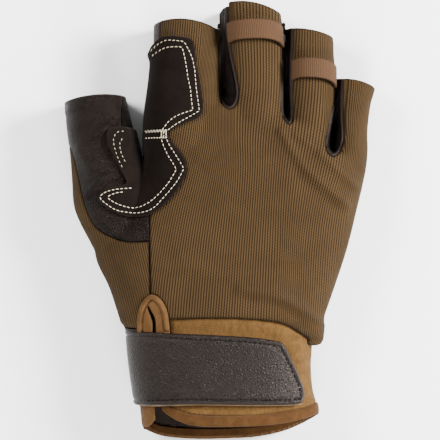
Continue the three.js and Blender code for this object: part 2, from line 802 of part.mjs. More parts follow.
// The strap lies over the wrist, round its thumb side and on to the palm side.
function strapLayer(low, high, margin) {
  const edge = smooth(strapEdge);
  const wristLeft = cuffRows.find(({ y }) => y >= strapMiddleY).left;
  const [top, bottom] = [edge[0].y, edge.at(-1).y];
  const [beyond, palmEnd] = [wristLeft - strapWidth, wristLeft + strapOnPalm];
  const corner = (x, y) => new THREE.Vector2(x, y);
  const onBack = [...edge, corner(beyond, bottom), corner(beyond, top)];
  const onPalm = [corner(beyond, bottom), corner(palmEnd, bottom), corner(palmEnd, top), corner(beyond, top)];
  const reach = prism(grow(onBack, margin), seamHeight).add(prism(grow(onPalm, margin), -above, seamHeight));
  return cuffLayer(low, high).intersect(reach);
}

// Surface of each material: colour, and how rough it is.
const surfaces = {
  ribbedFabric: { color: '#674d32', roughness: 0.95 },
  grainLeather: { color: '#322b28', roughness: 0.55 },
  palmLeather: { color: '#352c27', roughness: 0.6 },
  patchSuede: { color: '#211c18', roughness: 1 },
  cuffSuede: { color: '#91693c', roughness: 1 },
  tanBinding: { color: '#7e5531', roughness: 0.7 },
  loopWebbing: { color: '#86654b', roughness: 0.9 },
  hookTape: { color: '#7c5b3a', roughness: 1 },
  strapLeather: { color: '#45403d', roughness: 0.45 },
};

const pieces = {
  back_panel: [backPanel(), surfaces.ribbedFabric],
  thumb_back_panel: [thumbBackPanel(), surfaces.ribbedFabric],
  thumb_panel: [thumbPanel(), surfaces.grainLeather],
  thumb_side_panel: [thumbSidePanel(), surfaces.grainLeather],
  palm_panel: [palmPanel(), surfaces.palmLeather],
  fourchette_index: [fourchette('index'), surfaces.grainLeather],
  fourchette_middle: [fourchette('middle'), surfaces.grainLeather],
  fourchette_ring: [fourchette('ring'), surfaces.grainLeather],
  cuff_band: [cuffBand(), surfaces.cuffSuede],
  cuff_binding: [cuffBinding(), surfaces.tanBinding],
  palm_binding: [palmBinding(), surfaces.tanBinding],
  vent_binding: [ventBinding(), surfaces.tanBinding],
  crotch_patch: [crotchPatch(), surfaces.patchSuede],
  pull_loop_middle: [pullLoop(digits.middle, digits.ring), surfaces.loopWebbing],
  pull_loop_ring: [pullLoop(digits.ring, digits.little), surfaces.loopWebbing],
  strap_backing: [
    strapLayer(tapeOffset, tapeOffset + hookTapeThickness, strapBackingShows),
    surfaces.hookTape,
  ],
  strap: [strapLayer(strapOffset, strapOffset + strapThickness, 0), surfaces.strapLeather],
};

const glove = new THREE.Group();
for (const [name, [body, surface]] of Object.entries(pieces)) {
  const { numProp, vertProperties, triVerts } = body.getMesh();
  const geometry = new THREE.BufferGeometry();
  geometry.setAttribute('position', new THREE.BufferAttribute(vertProperties, numProp));
  geometry.setIndex(new THREE.BufferAttribute(triVerts, 1));
  geometry.computeVertexNormals();
  const mesh = new THREE.Mesh(geometry, new THREE.MeshStandardMaterial({ ...surface, metalness: 0 }));
  mesh.name = name;
  glove.add(mesh);
}

export default glove;
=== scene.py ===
import math
import random

import bmesh
import bpy
import numpy as np
from mathutils import Matrix, Vector, kdtree
from mathutils.bvhtree import BVHTree


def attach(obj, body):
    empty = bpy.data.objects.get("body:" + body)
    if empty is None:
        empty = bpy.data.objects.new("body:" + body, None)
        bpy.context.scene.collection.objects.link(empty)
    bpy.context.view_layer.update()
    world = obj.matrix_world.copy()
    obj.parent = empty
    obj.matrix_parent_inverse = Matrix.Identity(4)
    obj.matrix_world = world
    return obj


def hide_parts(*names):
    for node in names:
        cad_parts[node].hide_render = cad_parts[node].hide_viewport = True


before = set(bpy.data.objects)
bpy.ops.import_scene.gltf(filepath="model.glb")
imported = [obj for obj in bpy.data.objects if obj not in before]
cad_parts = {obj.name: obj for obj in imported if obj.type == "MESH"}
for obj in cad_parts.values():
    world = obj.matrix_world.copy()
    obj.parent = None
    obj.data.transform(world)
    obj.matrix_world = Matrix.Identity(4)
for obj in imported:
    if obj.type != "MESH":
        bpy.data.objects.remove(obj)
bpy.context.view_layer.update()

mm = 0.001
glove = {
    "length": 190, "width": 134, "thickness": 35, "digit": 25, "seam": 12, "flat": 4,
    "wall": 1.3, "gap": 0.3, "strapMiddle": -64.6, "strapWidth": 32, "strapFloor": 3.4,
    "grid": 0.76,  # mesh size of the cloth and leather
    "handPower": 2.5, "digitPower": 2.2,  # how square the ovals are
}
# Squares of the drawing that outlines are counted on, and the square under the glove's origin.
drawing = {"square": 0.434, "x": 220, "y": 219}

# A place in the plan from shares of the glove's width and length, in metres.
def plan(rows):
    return np.array([(u * glove["width"] * mm, v * glove["length"] * mm) for u, v in rows])


# The same at the wrist, where the second number is a share of the strap's width from its middle.
def wristPlan(rows):
    return np.array([(u * glove["width"] * mm, (glove["strapMiddle"] + w * glove["strapWidth"]) * mm)
                     for u, w in rows])


# A smooth line through points.
def smoothLine(points, steps=6, closed=False):
    p = np.asarray(points, float)
    p = np.vstack([p[-1], p, p[:2]]) if closed else np.vstack([2 * p[0] - p[1], p, 2 * p[-1] - p[-2]])
    out = []
    for a, b, c, d in zip(p, p[1:], p[2:], p[3:]):
        for t in np.arange(steps) / steps:
            out.append(0.5 * (2 * b + (c - a) * t + (2 * a - 5 * b + 4 * c - d) * t ** 2
                              + (3 * b - a - 3 * c + d) * t ** 3))
    if not closed:
        out.append(p[-2])
    return np.array(out)


# Distance of plan points to a line of points, and which side of a closed outline they lie on.
def lineDistance(xy, line, closed=False):
    a = line
    b = np.roll(line, -1, axis=0) if closed else line[1:]
    a = a if closed else line[:-1]
    best = np.full(len(xy), 1e9)
    inside = np.zeros(len(xy), bool)
    x, y = xy[:, 0], xy[:, 1]
    for (ax, ay), (bx, by) in zip(a, b):
        dx, dy = bx - ax, by - ay
        t = np.clip(((x - ax) * dx + (y - ay) * dy) / max(dx * dx + dy * dy, 1e-16), 0, 1)
        best = np.minimum(best, (x - ax - t * dx) ** 2 + (y - ay - t * dy) ** 2)
        if closed and ay != by:
            crosses = ((ay > y) != (by > y)) & (x < (bx - ax) * (y - ay) / (by - ay) + ax)
            inside ^= crosses
    best = np.sqrt(best)
    return np.where(inside, -best, best) if closed else best


# Smooth values of a table's columns at given places along its first column.
def tableAt(rows, where):
    rows = np.asarray(rows, float)
    line = smoothLine(rows, steps=8)
    order = np.argsort(line[:, 0])
    return [np.interp(where, line[order, 0], line[order, k]) for k in range(1, rows.shape[1])]


# y, left, right, top and floor of the hand's sections, in millimetres
def sections(rows, top):
    out = []
    for place, left, right, high, floor in rows:
        kind, share = place
        y = share * glove["length"] if kind == "v" else glove["strapMiddle"] + share * glove["strapWidth"]
        out.append((y, left * glove["width"], right * glove["width"], high * top,
                    floor * glove["strapFloor"]))
    return out


handTable = sections([
    (("w", -0.1), -0.285, 0.29, 0.93, 0.9),
    (("w", 0.131), -0.29, 0.29, 0.93, 0.8), (("w", 0.237), -0.297, 0.32, 0.97, 0.6),
    (("w", 0.386), -0.288, 0.336, 1, 0.4), (("w", 0.505), -0.297, 0.334, 1, 0.3),
    (("w", 0.582), -0.323, 0.329, 1, 0.2), (("w", 0.712), -0.334, 0.344, 0.99, 0.1),
    (("w", 1.069), -0.362, 0.374, 1, 0), (("v", -0.07), -0.41, 0.416, 1, 0),
    (("v", 0.02), -0.34, 0.448, 0.98, 0), (("v", 0.09), -0.27, 0.47, 0.94, 0),
    (("v", 0.15), -0.24, 0.475, 0.87, 0), (("v", 0.21), -0.24, 0.478, 0.77, 0),
    (("v", 0.27), -0.24, 0.48, 0.7, 0),
], glove["thickness"])
cuffTable = sections([
    (("w", -1.188), -0.235, 0.29, 0.947, 1), (("w", -0.772), -0.25, 0.318, 0.998, 1),
    (("w", -0.534), -0.256, 0.317, 0.987, 1), (("w", -0.297), -0.264, 0.303, 0.967, 1),
    (("w", 0), -0.274, 0.298, 0.957, 1), (("w", 0.237), -0.28, 0.301, 0.957, 1),
    (("w", 0.534), -0.285, 0.303, 0.967, 1), (("w", 0.772), -0.29, 0.308, 0.982, 0.8),
], glove["thickness"] - glove["wall"] - glove["gap"])
joinedTable = cuffTable[:6] + [(-55.0, -38.6, 40.4, 32.4, 3.0)] + handTable[6:]

digits = {
    "index": {"web": (-0.108, 0.253), "aim": (0.0, 1), "length": 0.19, "width": 0.2239, "root": 0.2316,
              "thick": 1, "bow": 0.095, "slant": 0.043, "rows": [
                  (0, -0.45, 0.5, 0.8), (0.3, -0.6, 0.58, 1.1), (0.5, -0.6, 0.57, 1.06),
                  (0.68, -0.54, 0.5, 1), (0.84, -0.5, 0.49, 1), (1, -0.49, 0.465, 0.98)]},
    "middle": {"web": (0.12, 0.235), "aim": (-0.077, 1), "length": 0.249, "width": 0.209, "root": 0.1789,
               "thick": 1.02, "bow": 0.1, "slant": 0.095, "rows": [
                   (0, -0.4, 0.42, 0.8), (0.4, -0.46, 0.445, 1.06), (0.6, -0.47, 0.48, 1),
                   (0.8, -0.465, 0.495, 0.98), (0.9, -0.475, 0.5, 0.98), (1, -0.49, 0.5, 0.96)]},
    "ring": {"web": (0.296, 0.185), "aim": (-0.01, 1), "length": 0.2445, "width": 0.1642, "root": 0.1684,
             "thick": 0.95, "bow": 0.045, "slant": 0.08, "rows": [
                 (0, -0.4, 0.4, 0.8), (0.42, -0.46, 0.44, 1.06), (0.62, -0.475, 0.5, 1),
                 (0.82, -0.465, 0.5, 0.98), (1, -0.475, 0.46, 0.96)]},
    "little": {"web": (0.424, 0.12), "aim": (0.055, 1), "length": 0.193, "width": 0.1269, "root": 0.1579,
               "thick": 0.88, "bow": 0.07, "slant": 0.085, "rows": [
                   (0, -0.4, 0.1, 0.6), (0.45, -0.46, 0.44, 1.06), (0.7, -0.44, 0.42, 1),
                   (0.88, -0.43, 0.47, 1), (1, -0.44, 0.57, 0.98)]},
    "thumb": {"web": (-0.385, 0.135), "aim": (-0.125, 1), "length": 0.1421, "width": 0.2239, "root": 0.2737,
              "thick": 1.06, "bow": 0.05, "slant": 0.01, "rows": [
                  (0, -0.1, 0.5, 0.8), (0.2, -0.31, 0.62, 1), (0.4, -0.49, 0.63, 1.1),
                  (0.56, -0.483, 0.58, 1.06), (0.71, -0.463, 0.53, 1), (0.86, -0.466, 0.49, 0.98),
                  (1, -0.44, 0.45, 0.96)]},
}
webLine = plan([(-0.6, 0.1), (-0.3, 0.13), (-0.24, 0.14), (-0.1, 0.24), (0.029, 0.262), (0.12, 0.246),
                (0.219, 0.229), (0.29, 0.2), (0.361, 0.157), (0.44, 0.14), (0.6, 0.12)])


# A flattened oval: the same section as the solids have, in millimetres.
def ovalPoints(turn, left, right, top, floor, power, offset=0.0):
    cos, sin = np.cos(turn), np.sin(turn)
    sideways = np.sign(cos) * np.abs(cos) ** (2 / power)
    up = np.sign(sin) * np.abs(sin) ** (2 / power)
    seam = glove["seam"]
    height = np.where(up > 0, top, 2 * seam + glove["flat"]) - seam + offset
    across = (left + right) / 2 + ((right - left) / 2 + offset) * sideways
    return across, np.maximum(seam + height * up, floor - offset)


# A tube is a grid rolled up: surface gives its points from turn, 0 to 2 pi, and run, 0 to 1.
def rolledTube(surface, around, along, close=True):
    bm = bmesh.new()
    bmesh.ops.create_grid(bm, x_segments=around, y_segments=along, size=1)
    flat = np.array([v.co[:] for v in bm.verts])
    points = surface((flat[:, 0] + 1) * math.pi, (flat[:, 1] + 1) / 2)
    for vert, point in zip(bm.verts, points):
        vert.co = point
    bmesh.ops.remove_doubles(bm, verts=bm.verts, dist=1e-6)
    if close:
        bmesh.ops.holes_fill(bm, edges=[e for e in bm.edges if e.is_boundary], sides=0)
    bmesh.ops.recalc_face_normals(bm, faces=bm.faces)
    mesh = bpy.data.meshes.new("tube")
    bm.to_mesh(mesh)
    bm.free()
    return mesh


# The hand from the cuff to the webs; its far end is a rounded wall along the web line.
def handSurface(table):
    start, end = table[0][0], table[-1][0]
    web = smoothLine(webLine)

    def surface(turn, run):
        body = np.clip(run / 0.8, 0, 1)
        shrink = np.clip((1 - run) / 0.2, 0, 1)
        y = start + (end - start) * body
        left, right, top, floor = tableAt(table, y)
        x, z = ovalPoints(turn, left, right, top, floor, glove["handPower"])
        mid = (left + right) / 2
        x = mid + (x - mid) * shrink
        z = 13 + (z - 13) * shrink
        y = np.minimum(y, np.interp(x * mm, web[:, 0], web[:, 1]) / mm)
        return np.column_stack([x, y, z]) * mm
    return surface


# Where a digit starts and points, in millimetres.
def digitLine(digit):
    aim = Vector(digit["aim"]).normalized()
    web = Vector((digit["web"][0] * glove["width"], digit["web"][1] * glove["length"]))
    start = web - aim * digit["root"] * glove["length"]
    reach = (digit["root"] + digit["length"]) * glove["length"]
    return np.array(start), np.array(aim), np.array((aim.y, -aim.x)), reach


def digitSurface(digit, overrun=5):
    start, aim, side, reach = digitLine(digit)
    width = digit["width"] * glove["width"]
    high = digit["thick"] * glove["digit"]

    def surface(turn, run):
        at = run * (reach + overrun) / reach
        left, right, top = tableAt(digit["rows"], np.clip(at, 0, 1))
        x, z = ovalPoints(turn, left * width, right * width, top * high, 0, glove["digitPower"])
        place = start + np.outer(at * reach, aim) + np.outer(x, side)
        return np.column_stack([place, z]) * mm
    return surface


def fromObject(thing):
    graph = bpy.context.evaluated_depsgraph_get()
    return bpy.data.meshes.new_from_object(thing.evaluated_get(graph))


# One closed skin round overlapping tubes.
def skin(name, meshes):
    bm = bmesh.new()
    for mesh in meshes:
        bm.from_mesh(mesh)
    whole = bpy.data.meshes.new(name)
    bm.to_mesh(whole)
    bm.free()
    thing = bpy.data.objects.new(name, whole)
    bpy.context.collection.objects.link(thing)
    voxels = thing.modifiers.new("voxels", "REMESH")
    voxels.mode = "VOXEL"
    voxels.voxel_size = glove["grid"] * mm
    soft = thing.modifiers.new("soft", "SMOOTH")
    soft.factor, soft.iterations = 0.5, 9
    made = fromObject(thing)
    bpy.data.objects.remove(thing)
    bm = bmesh.new()
    bm.from_mesh(made)
    roots = lineDistance(coords(made)[:, :2], smoothLine(webLine)) < 4 * mm
    bm.verts.ensure_lookup_table()
    near = [bm.verts[i] for i in np.flatnonzero(roots)]
    for _ in range(25):
        bmesh.ops.smooth_vert(bm, verts=near, factor=0.5, use_axis_x=True, use_axis_y=True, use_axis_z=True)
    bm.to_mesh(made)
    bm.free()
    return made


def coords(mesh):
    out = np.empty(len(mesh.vertices) * 3)
    mesh.vertices.foreach_get("co", out)
    return out.reshape(-1, 3)


def setCoords(mesh, points):
    mesh.vertices.foreach_set("co", np.ascontiguousarray(points, float).ravel())
    mesh.update()


def normals(mesh):
    out = np.empty(len(mesh.vertices) * 3)
    mesh.vertex_normals.foreach_get("vector", out)
    return out.reshape(-1, 3)


def store(mesh, name, values):
    kind = "FLOAT" if values.ndim == 1 else "FLOAT_VECTOR"
    layer = mesh.attributes.get(name) or mesh.attributes.new(name, kind, "POINT")
    layer.data.foreach_set("value" if values.ndim == 1 else "vector",
                           np.ascontiguousarray(values, float).ravel())


def stored(mesh, name):
    out = np.empty(len(mesh.vertices))
    mesh.attributes[name].data.foreach_get("value", out)
    return out


# Stores at each point how far it is from the mesh's open edge.
def measureEdge(bm):
    steps = 6
    rim = [e.verts[0].co.lerp(e.verts[1].co, k / steps)
           for e in bm.edges if e.is_boundary for k in range(steps)]
    tree = kdtree.KDTree(len(rim))
    for i, place in enumerate(rim):
        tree.insert(place, i)
    tree.balance()
    edge = bm.verts.layers.float.get("edge") or bm.verts.layers.float.new("edge")
    for vert in bm.verts:
        vert[edge] = tree.find(vert.co)[2]


# Cuts a skin along the line where field is zero and keeps the side where it is negative: for the cut,
# the field stands in for the points' x, and afterwards they go home.
def cutOut(source, field):
    mesh = source.copy()
    points = coords(mesh)
    value = field(points)
    store(mesh, "home", points)
    setCoords(mesh, np.column_stack([value, points[:, 1:]]))
    bm = bmesh.new()
    bm.from_mesh(mesh)
    far = 3 * mm
    bmesh.ops.delete(bm, geom=[v for v in bm.verts if v.co.x > far], context="VERTS")
    bmesh.ops.bisect_plane(bm, geom=bm.verts[:] + bm.edges[:] + bm.faces[:], dist=1e-7,
                           plane_co=(0, 0, 0), plane_no=(1, 0, 0), clear_outer=True)
    home = bm.verts.layers.float_vector["home"]
    for vert in bm.verts:
        vert.co = vert[home]
    bmesh.ops.dissolve_degenerate(bm, edges=bm.edges, dist=0.02 * mm)
    measureEdge(bm)
    bm.to_mesh(mesh)
    bm.free()
    return mesh


# Halves a mesh's squares where a finer relief comes.
def refine(mesh, cuts=1):
    bm = bmesh.new()
    bm.from_mesh(mesh)
    bmesh.ops.subdivide_edges(bm, edges=bm.edges, cuts=cuts, use_grid_fill=True)
    measureEdge(bm)
    bm.to_mesh(mesh)
    bm.free()
    return mesh


# Field pieces: all in metres, negative inside.
def within(outline):
    return lambda p: lineDistance(p[:, :2], outline, closed=True) + glove["gap"] * mm / 2


# The same, reaching a little further, in millimetres.
def wider(outline, by):
    return lambda p: lineDistance(p[:, :2], outline, closed=True) - by * mm


def without(outline):
    return lambda p: glove["gap"] * mm / 2 - lineDistance(p[:, :2], outline, closed=True)


def allOf(*fields):
    return lambda p: np.max([f(p) for f in fields], axis=0)


def anyOf(*fields):
    return lambda p: np.min([f(p) for f in fields], axis=0)


def overSeam(p):
    return (glove["seam"] + glove["gap"] / 2) * mm - p[:, 2]


def underSeam(p):
    return p[:, 2] - (glove["seam"] - glove["gap"] / 2) * mm


# How far points lie beyond the open end of their digit.
def beyondHem(p):
    nearest = np.full(len(p), 1e9)
    out = np.full(len(p), -1.0)
    for digit in digits.values():
        start, aim, side, reach = digitLine(digit)
        width = digit["width"] * glove["width"]
        rel = p[:, :2] / mm - start
        along, across = rel @ aim, rel @ side
        left, right = tableAt([row[:3] for row in digit["rows"]], np.clip(along / reach, 0, 1))
        s = (across - (left + right) / 2 * width) / ((right - left) / 2 * width)
        over = 1 / (1 + np.exp(-(p[:, 2] / mm - glove["seam"]) / 0.8))
        limit = (digit["bow"] * width * (1 - np.clip(s, -1, 1) ** 2) * (1.5 * over - 0.5)
                 - digit["slant"] * width * s)
        mine = (np.abs(s) < nearest) & (along > 0.4 * reach)
        nearest = np.where(mine, np.abs(s), nearest)
        out = np.where(mine, (along - reach - limit) * mm, out)
    return out


print("making the skins")
handSkin = skin("hand", [rolledTube(handSurface(handTable), 160, 130)]
                + [rolledTube(digitSurface(d), 96, 60) for d in digits.values()])
joinedSkin = skin("joined", [rolledTube(handSurface(joinedTable), 160, 150)]
                  + [rolledTube(digitSurface(d), 96, 60) for d in digits.values()])


def cuffSurface(offset):
    def surface(turn, run):
        y = cuffTable[0][0] + (cuffTable[-1][0] - cuffTable[0][0]) * run
        left, right, top, floor = tableAt(cuffTable, y)
        x, z = ovalPoints(turn, left, right, top, floor, glove["handPower"], offset)
        return np.column_stack([x, y, z]) * mm
    return surface


def cuffSkin(offset, around=330, along=96):
    return rolledTube(cuffSurface(offset), around, along, close=False)


# Outlines drawn from above, counted in squares from the top left corner of the drawing.
def sketch(rows):
    square = drawing["square"] * mm
    return np.array([((x - drawing["x"]) * square, (drawing["y"] - y) * square) for x, y in rows])


# Outlines seen from above, the same as the solids'
thumbSeam = plan([(-0.262, 0.36), (-0.26, 0.15), (-0.245, 0.12), (-0.235, 0.08), (-0.229, 0.01),
                  (-0.228, -0.05)])
thumbLeatherEdge = plan([(-0.228, -0.05), (-0.306, -0.05), (-0.371, -0.034), (-0.413, -0.007),
                         (-0.442, 0.043), (-0.461, 0.1), (-0.481, 0.153), (-0.5, 0.174)])
thumbSideSeam = plan([(-0.318, 0.36), (-0.319, 0.215), (-0.318, 0.14), (-0.295, 0.1), (-0.24, 0.1)])
indexFabricEdge = plan([(-0.192, 0.6), (-0.196, 0.4), (-0.2, 0.27), (-0.212, 0.15), (-0.235, 0.08)])
webStrips = {
    "index": sketch([(204, -60), (204, 14), (213, 22), (218, 27), (219.7, 40), (219.7, 78), (220.9, 95),
                     (223.7, 104), (228.9, 108.3), (234.4, 105.5), (237.9, 97), (237.9, 87.7), (235.5, 73.5),
                     (232, 57), (228.8, 40), (227.2, 26), (228, 2), (228, -60)]),
    "middle": sketch([(283.5, -60), (283.5, 20), (284, 40), (283, 55), (282.5, 71), (281.8, 94.8),
                      (281.8, 106.6), (283.4, 116), (286.5, 122), (288.9, 123.7), (291.2, 122),
                      (292.7, 116), (292.6, 106.6), (292.2, 90), (292.2, 60), (293.4, 31), (293.4, -60)]),
    "ring": sketch([(338, -60), (338, 70), (337.4, 91), (336.3, 97), (332.7, 111.4), (329.1, 128),
                    (326.3, 139.8), (326.3, 147), (328, 152.8), (331.5, 155.9), (335, 155.2),
                    (339.8, 150.5), (342.9, 142.2), (343.8, 132.7), (342.9, 113.7), (342.9, 94.8),
                    (343.4, 80.6), (343.4, -60)]),
}
backWristEdge = wristPlan([(-0.2, 0.665), (0.03, 0.677), (0.168, 0.635), (0.235, 0.552), (0.28, 0.457),
                           (0.303, 0.362), (0.31, 0.226), (0.42, 0.166)])
ventOval = wristPlan([(-0.262, 0.475), (-0.262, 0.677), (-0.25, 0.867), (-0.223, 0.986),
                      (-0.194, 0.938), (-0.173, 0.784), (-0.165, 0.564)])
ventLine = wristPlan([(-0.222, 0.849), (-0.217, 0.475), (-0.208, -0.119), (-0.2, -0.534),
                      (-0.19, -1.306)])
cuffEdge = wristPlan([(-0.2, -0.534), (-0.177, -0.612), (-0.13, -0.718), (-0.06, -0.778),
                      (0.12, -0.772), (0.26, -0.701), (0.42, -0.534)])
palmEdge = sketch([(-90, 380), (96, 402), (134, 424), (142, 431), (151, 437.5), (165, 441.5), (185, 443.5),
                   (205, 444), (232, 443.3), (256, 441.8), (281, 437), (301, 429.5), (315, 421.5), (323, 413),
                   (332, 405), (500, 380)])
patchEdge = sketch([
    (138.8, 50.4), (149.5, 49), (152.8, 44.6), (157.9, 39.5), (163, 36.6), (170, 35.6), (177, 36.2),
    (188.5, 38.3), (193, 42), (194.8, 51), (196, 63.8), (198.7, 76.5), (200.6, 89.3), (202.5, 102),
    (202.9, 109.7), (201, 114.8), (197.4, 118.6), (188.5, 122.4), (178.3, 127.2), (170.2, 131.5),
    (169.3, 134.5), (171.6, 141.5), (178.3, 149), (184, 156.7), (187, 164.3), (187.4, 172), (184, 181.5),
    (178.3, 191), (168.8, 202.5), (159.2, 210.6), (147.8, 216.2), (136.3, 217.8), (124.9, 216.2),
    (115.3, 212), (105.8, 206.3), (99.6, 200.2), (98.7, 194.9), (103, 191), (115.3, 187.2),
    (123.5, 185.2), (126, 181.5), (123, 175.8), (117, 164), (110.5, 151), (106.7, 139.5), (107.2, 130),
    (111.5, 127), (123, 127), (131.5, 129), (138.8, 131)])
strapEdge = wristPlan([(-0.3, 0.5), (-0.065, 0.47), (0.1, 0.43), (0.18, 0.38), (0.206, 0.33),
                       (0.232, 0.12), (0.258, -0.11), (0.274, -0.32), (0.268, -0.43), (0.245, -0.473),
                       (0.1, -0.473), (-0.065, -0.465), (-0.177, -0.486), (-0.3, -0.52)])

backFoot = 0.525
farLeft, farRight = -0.7, 0.7
indexSide = np.vstack([smoothLine(indexFabricEdge), smoothLine(thumbSeam[:4])[::-1], plan([(-0.262, 0.6)])])
thumbLeather = np.vstack([smoothLine(thumbSeam), smoothLine(thumbLeatherEdge)[1:],
                          plan([(farLeft, 0.174), (farLeft, 0.5), (-0.262, 0.5)])])
thumbSide = np.vstack([smoothLine(thumbSideSeam), plan([(-0.1, 0.1), (-0.1, 0.5), (-0.318, 0.5)])])
thumbBack = np.vstack([smoothLine(thumbLeatherEdge), plan([(farLeft, 0.174)]),
                       wristPlan([(farLeft, backFoot), (-0.224, backFoot)]), plan([(-0.224, -0.2)])])
back = np.vstack([smoothLine(backWristEdge), plan([(farRight, 0.7), (farLeft, 0.7)]),
                  wristPlan([(farLeft, 0.665)])])
handSide = np.vstack([smoothLine(thumbSeam), plan([(-0.224, -0.2), (-0.224, -0.8), (farRight, -0.8),
                                                   (farRight, 0.7), (-0.262, 0.7)])])
vent = np.vstack([smoothLine(ventOval), wristPlan([(-0.165, -0.416), (-0.19, -0.499), (-0.2, -0.534)]),
                  plan([(-0.2, -0.6), (-0.262, -0.6)])])
webs = {name: smoothLine(points) for name, points in webStrips.items()}


def cuffOutline(shift):
    return np.vstack([smoothLine(cuffEdge) + (0, shift * mm),
                      plan([(0.42, 0.2), (-0.2, 0.2)])])


def palmOutline(shift):
    return np.vstack([smoothLine(palmEdge) + (0, shift * mm), wristPlan([(farRight, -0.356)]),
                      plan([(farRight, 0.8), (farLeft, 0.8)])])


def ribbon(line, width):
    line = smoothLine(line)
    along = np.gradient(line, axis=0)
    away = np.column_stack([-along[:, 1], along[:, 0]])
    away *= width / 2 * mm / np.linalg.norm(away, axis=1)[:, None]
    return np.vstack([line + away, (line - away)[::-1]])


slit = ribbon(ventLine[2:], 2.4)
ventMouth = smoothLine(sketch([(148.4, 305.6), (149, 305.3), (151.2, 309.5), (153.6, 313.8), (155.4, 318.5),
                               (156, 326), (156, 350), (153.6, 350), (153.6, 326), (152.9, 319.5),
                               (151.2, 314.6), (149.4, 309.8)]), steps=3)
ventLeg = smoothLine(sketch([(138, 370), (156, 370), (156, 404), (158.7, 412), (156.5, 418.5), (150.4, 425.9),
                             (144, 429.2), (138, 429)]), steps=3)
pieces = {}


# Nothing reaches below the surface that the glove rests on.
def aboveFloor(mesh):
    points = coords(mesh)
    points[:, 2] = np.maximum(points[:, 2], 0.1 * mm)
    setCoords(mesh, points)


# Makes a piece of a mesh: its wall, its place in the list and what it stands for.
def finishPiece(name, mesh, material, nodes, wall=glove["wall"], seatedOn="root"):
    for old in [a.name for a in mesh.attributes if a.name == "home"]:
        mesh.attributes.remove(mesh.attributes[old])
    aboveFloor(mesh)
    mesh.materials.clear()
    mesh.materials.append(material)
    for poly in mesh.polygons:
        poly.use_smooth = True
    thing = bpy.data.objects.new(name, mesh)
    bpy.context.collection.objects.link(thing)
    if wall:
        thick = thing.modifiers.new("wall", "SOLIDIFY")
        thick.thickness, thick.offset = wall * mm, -1
        thing.data = fromObject(thing)
        thing.modifiers.clear()
        aboveFloor(thing.data)
    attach(thing, seatedOn)
    if nodes:
        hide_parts(*nodes)
    pieces[name] = thing
    return thing


def bell(distance, middle, width):
    return np.exp(-((distance - middle) / width) ** 2)


def smoothStep(value, low, high):
    t = np.clip((value - low) / (high - low), 0, 1)
    return t * t * (3 - 2 * t)


# Lets a panel's edge roll in, as at a turned seam, and adds folds, a folded hem and other relief.
def shape(mesh, roll=0.9, sink=0.55, offset=0.0, folds=(), hem=0.0, relief=None):
    points, out = coords(mesh), normals(mesh)
    edge = stored(mesh, "edge") / mm
    near = np.clip(1 - edge / roll, 0, 1)
    lift = offset - sink * (1 - np.sqrt(np.clip(1 - near ** 2, 0, 1)))
    for fold in folds:
        away = lineDistance(points[:, :2], smoothLine(fold["line"])) / mm
        lift = lift + fold["high"] * bell(away, 0, fold["wide"]) * (out[:, 2] > 0)
    if hem:
        inward = -beyondHem(points) / mm
        lift = lift + hem * (1 - smoothStep(inward, 5, 5.8)) - 0.12 * bell(inward, 4.9, 0.35)
    if relief is not None:
        lift = lift + relief(points, edge)
    setCoords(mesh, points + out * (lift * mm)[:, None])
    return mesh


# A node with its inputs set or linked, and its settings.
def add(tree, kind, inputs=None, **settings):
    node = tree.nodes.new(kind)
    for key, value in settings.items():
        setattr(node, key, value)
    for key, value in (inputs or {}).items():
        socket = node.inputs[key]
        if isinstance(value, bpy.types.NodeSocket):
            tree.links.new(value, socket)
        else:
            socket.default_value = value
    return node


def calc(tree, operation, *values):
    return add(tree, "ShaderNodeMath", dict(enumerate(values)), operation=operation).outputs[0]


# A value carried from one range to another, with soft ends.
def fade(tree, value, low, high, start=0.0, end=1.0):
    return add(tree, "ShaderNodeMapRange", {0: value, 1: low, 2: high, 3: start, 4: end},
               interpolation_type="SMOOTHSTEP").outputs[0]


def blend(tree, factor, a, b):
    return add(tree, "ShaderNodeMix", {0: factor, 6: a, 7: b}, data_type="RGBA").outputs[2]


def newGroup(name, ins, outs):
    tree = bpy.data.node_groups.new(name, "ShaderNodeTree")
    for label, start in ins.items():
        socket = tree.interface.new_socket(label, in_out="INPUT", socket_type="NodeSocketFloat")
        socket.default_value = start
    for label in outs:
        tree.interface.new_socket(label, in_out="OUTPUT", socket_type="NodeSocketFloat")
    return tree, tree.nodes.new("NodeGroupInput").outputs, tree.nodes.new("NodeGroupOutput").inputs


def placeGroup(tree, group, **values):
    node = add(tree, "ShaderNodeGroup", node_tree=group)
    for key, value in values.items():
        socket = node.inputs[key]
        if isinstance(value, bpy.types.NodeSocket):
            tree.links.new(value, socket)
        else:
            socket.default_value = value
    return node.outputs


def objectPlace(tree):
    return add(tree, "ShaderNodeTexCoord").outputs["Object"]


def noise(tree, scale, detail=2.0, rough=0.5, vector=None, distortion=0.0):
    node = add(tree, "ShaderNodeTexNoise", {"Scale": scale, "Detail": detail, "Roughness": rough,
                                            "Distortion": distortion,
                                            "Vector": vector or objectPlace(tree)})
    return node.outputs["Fac"]


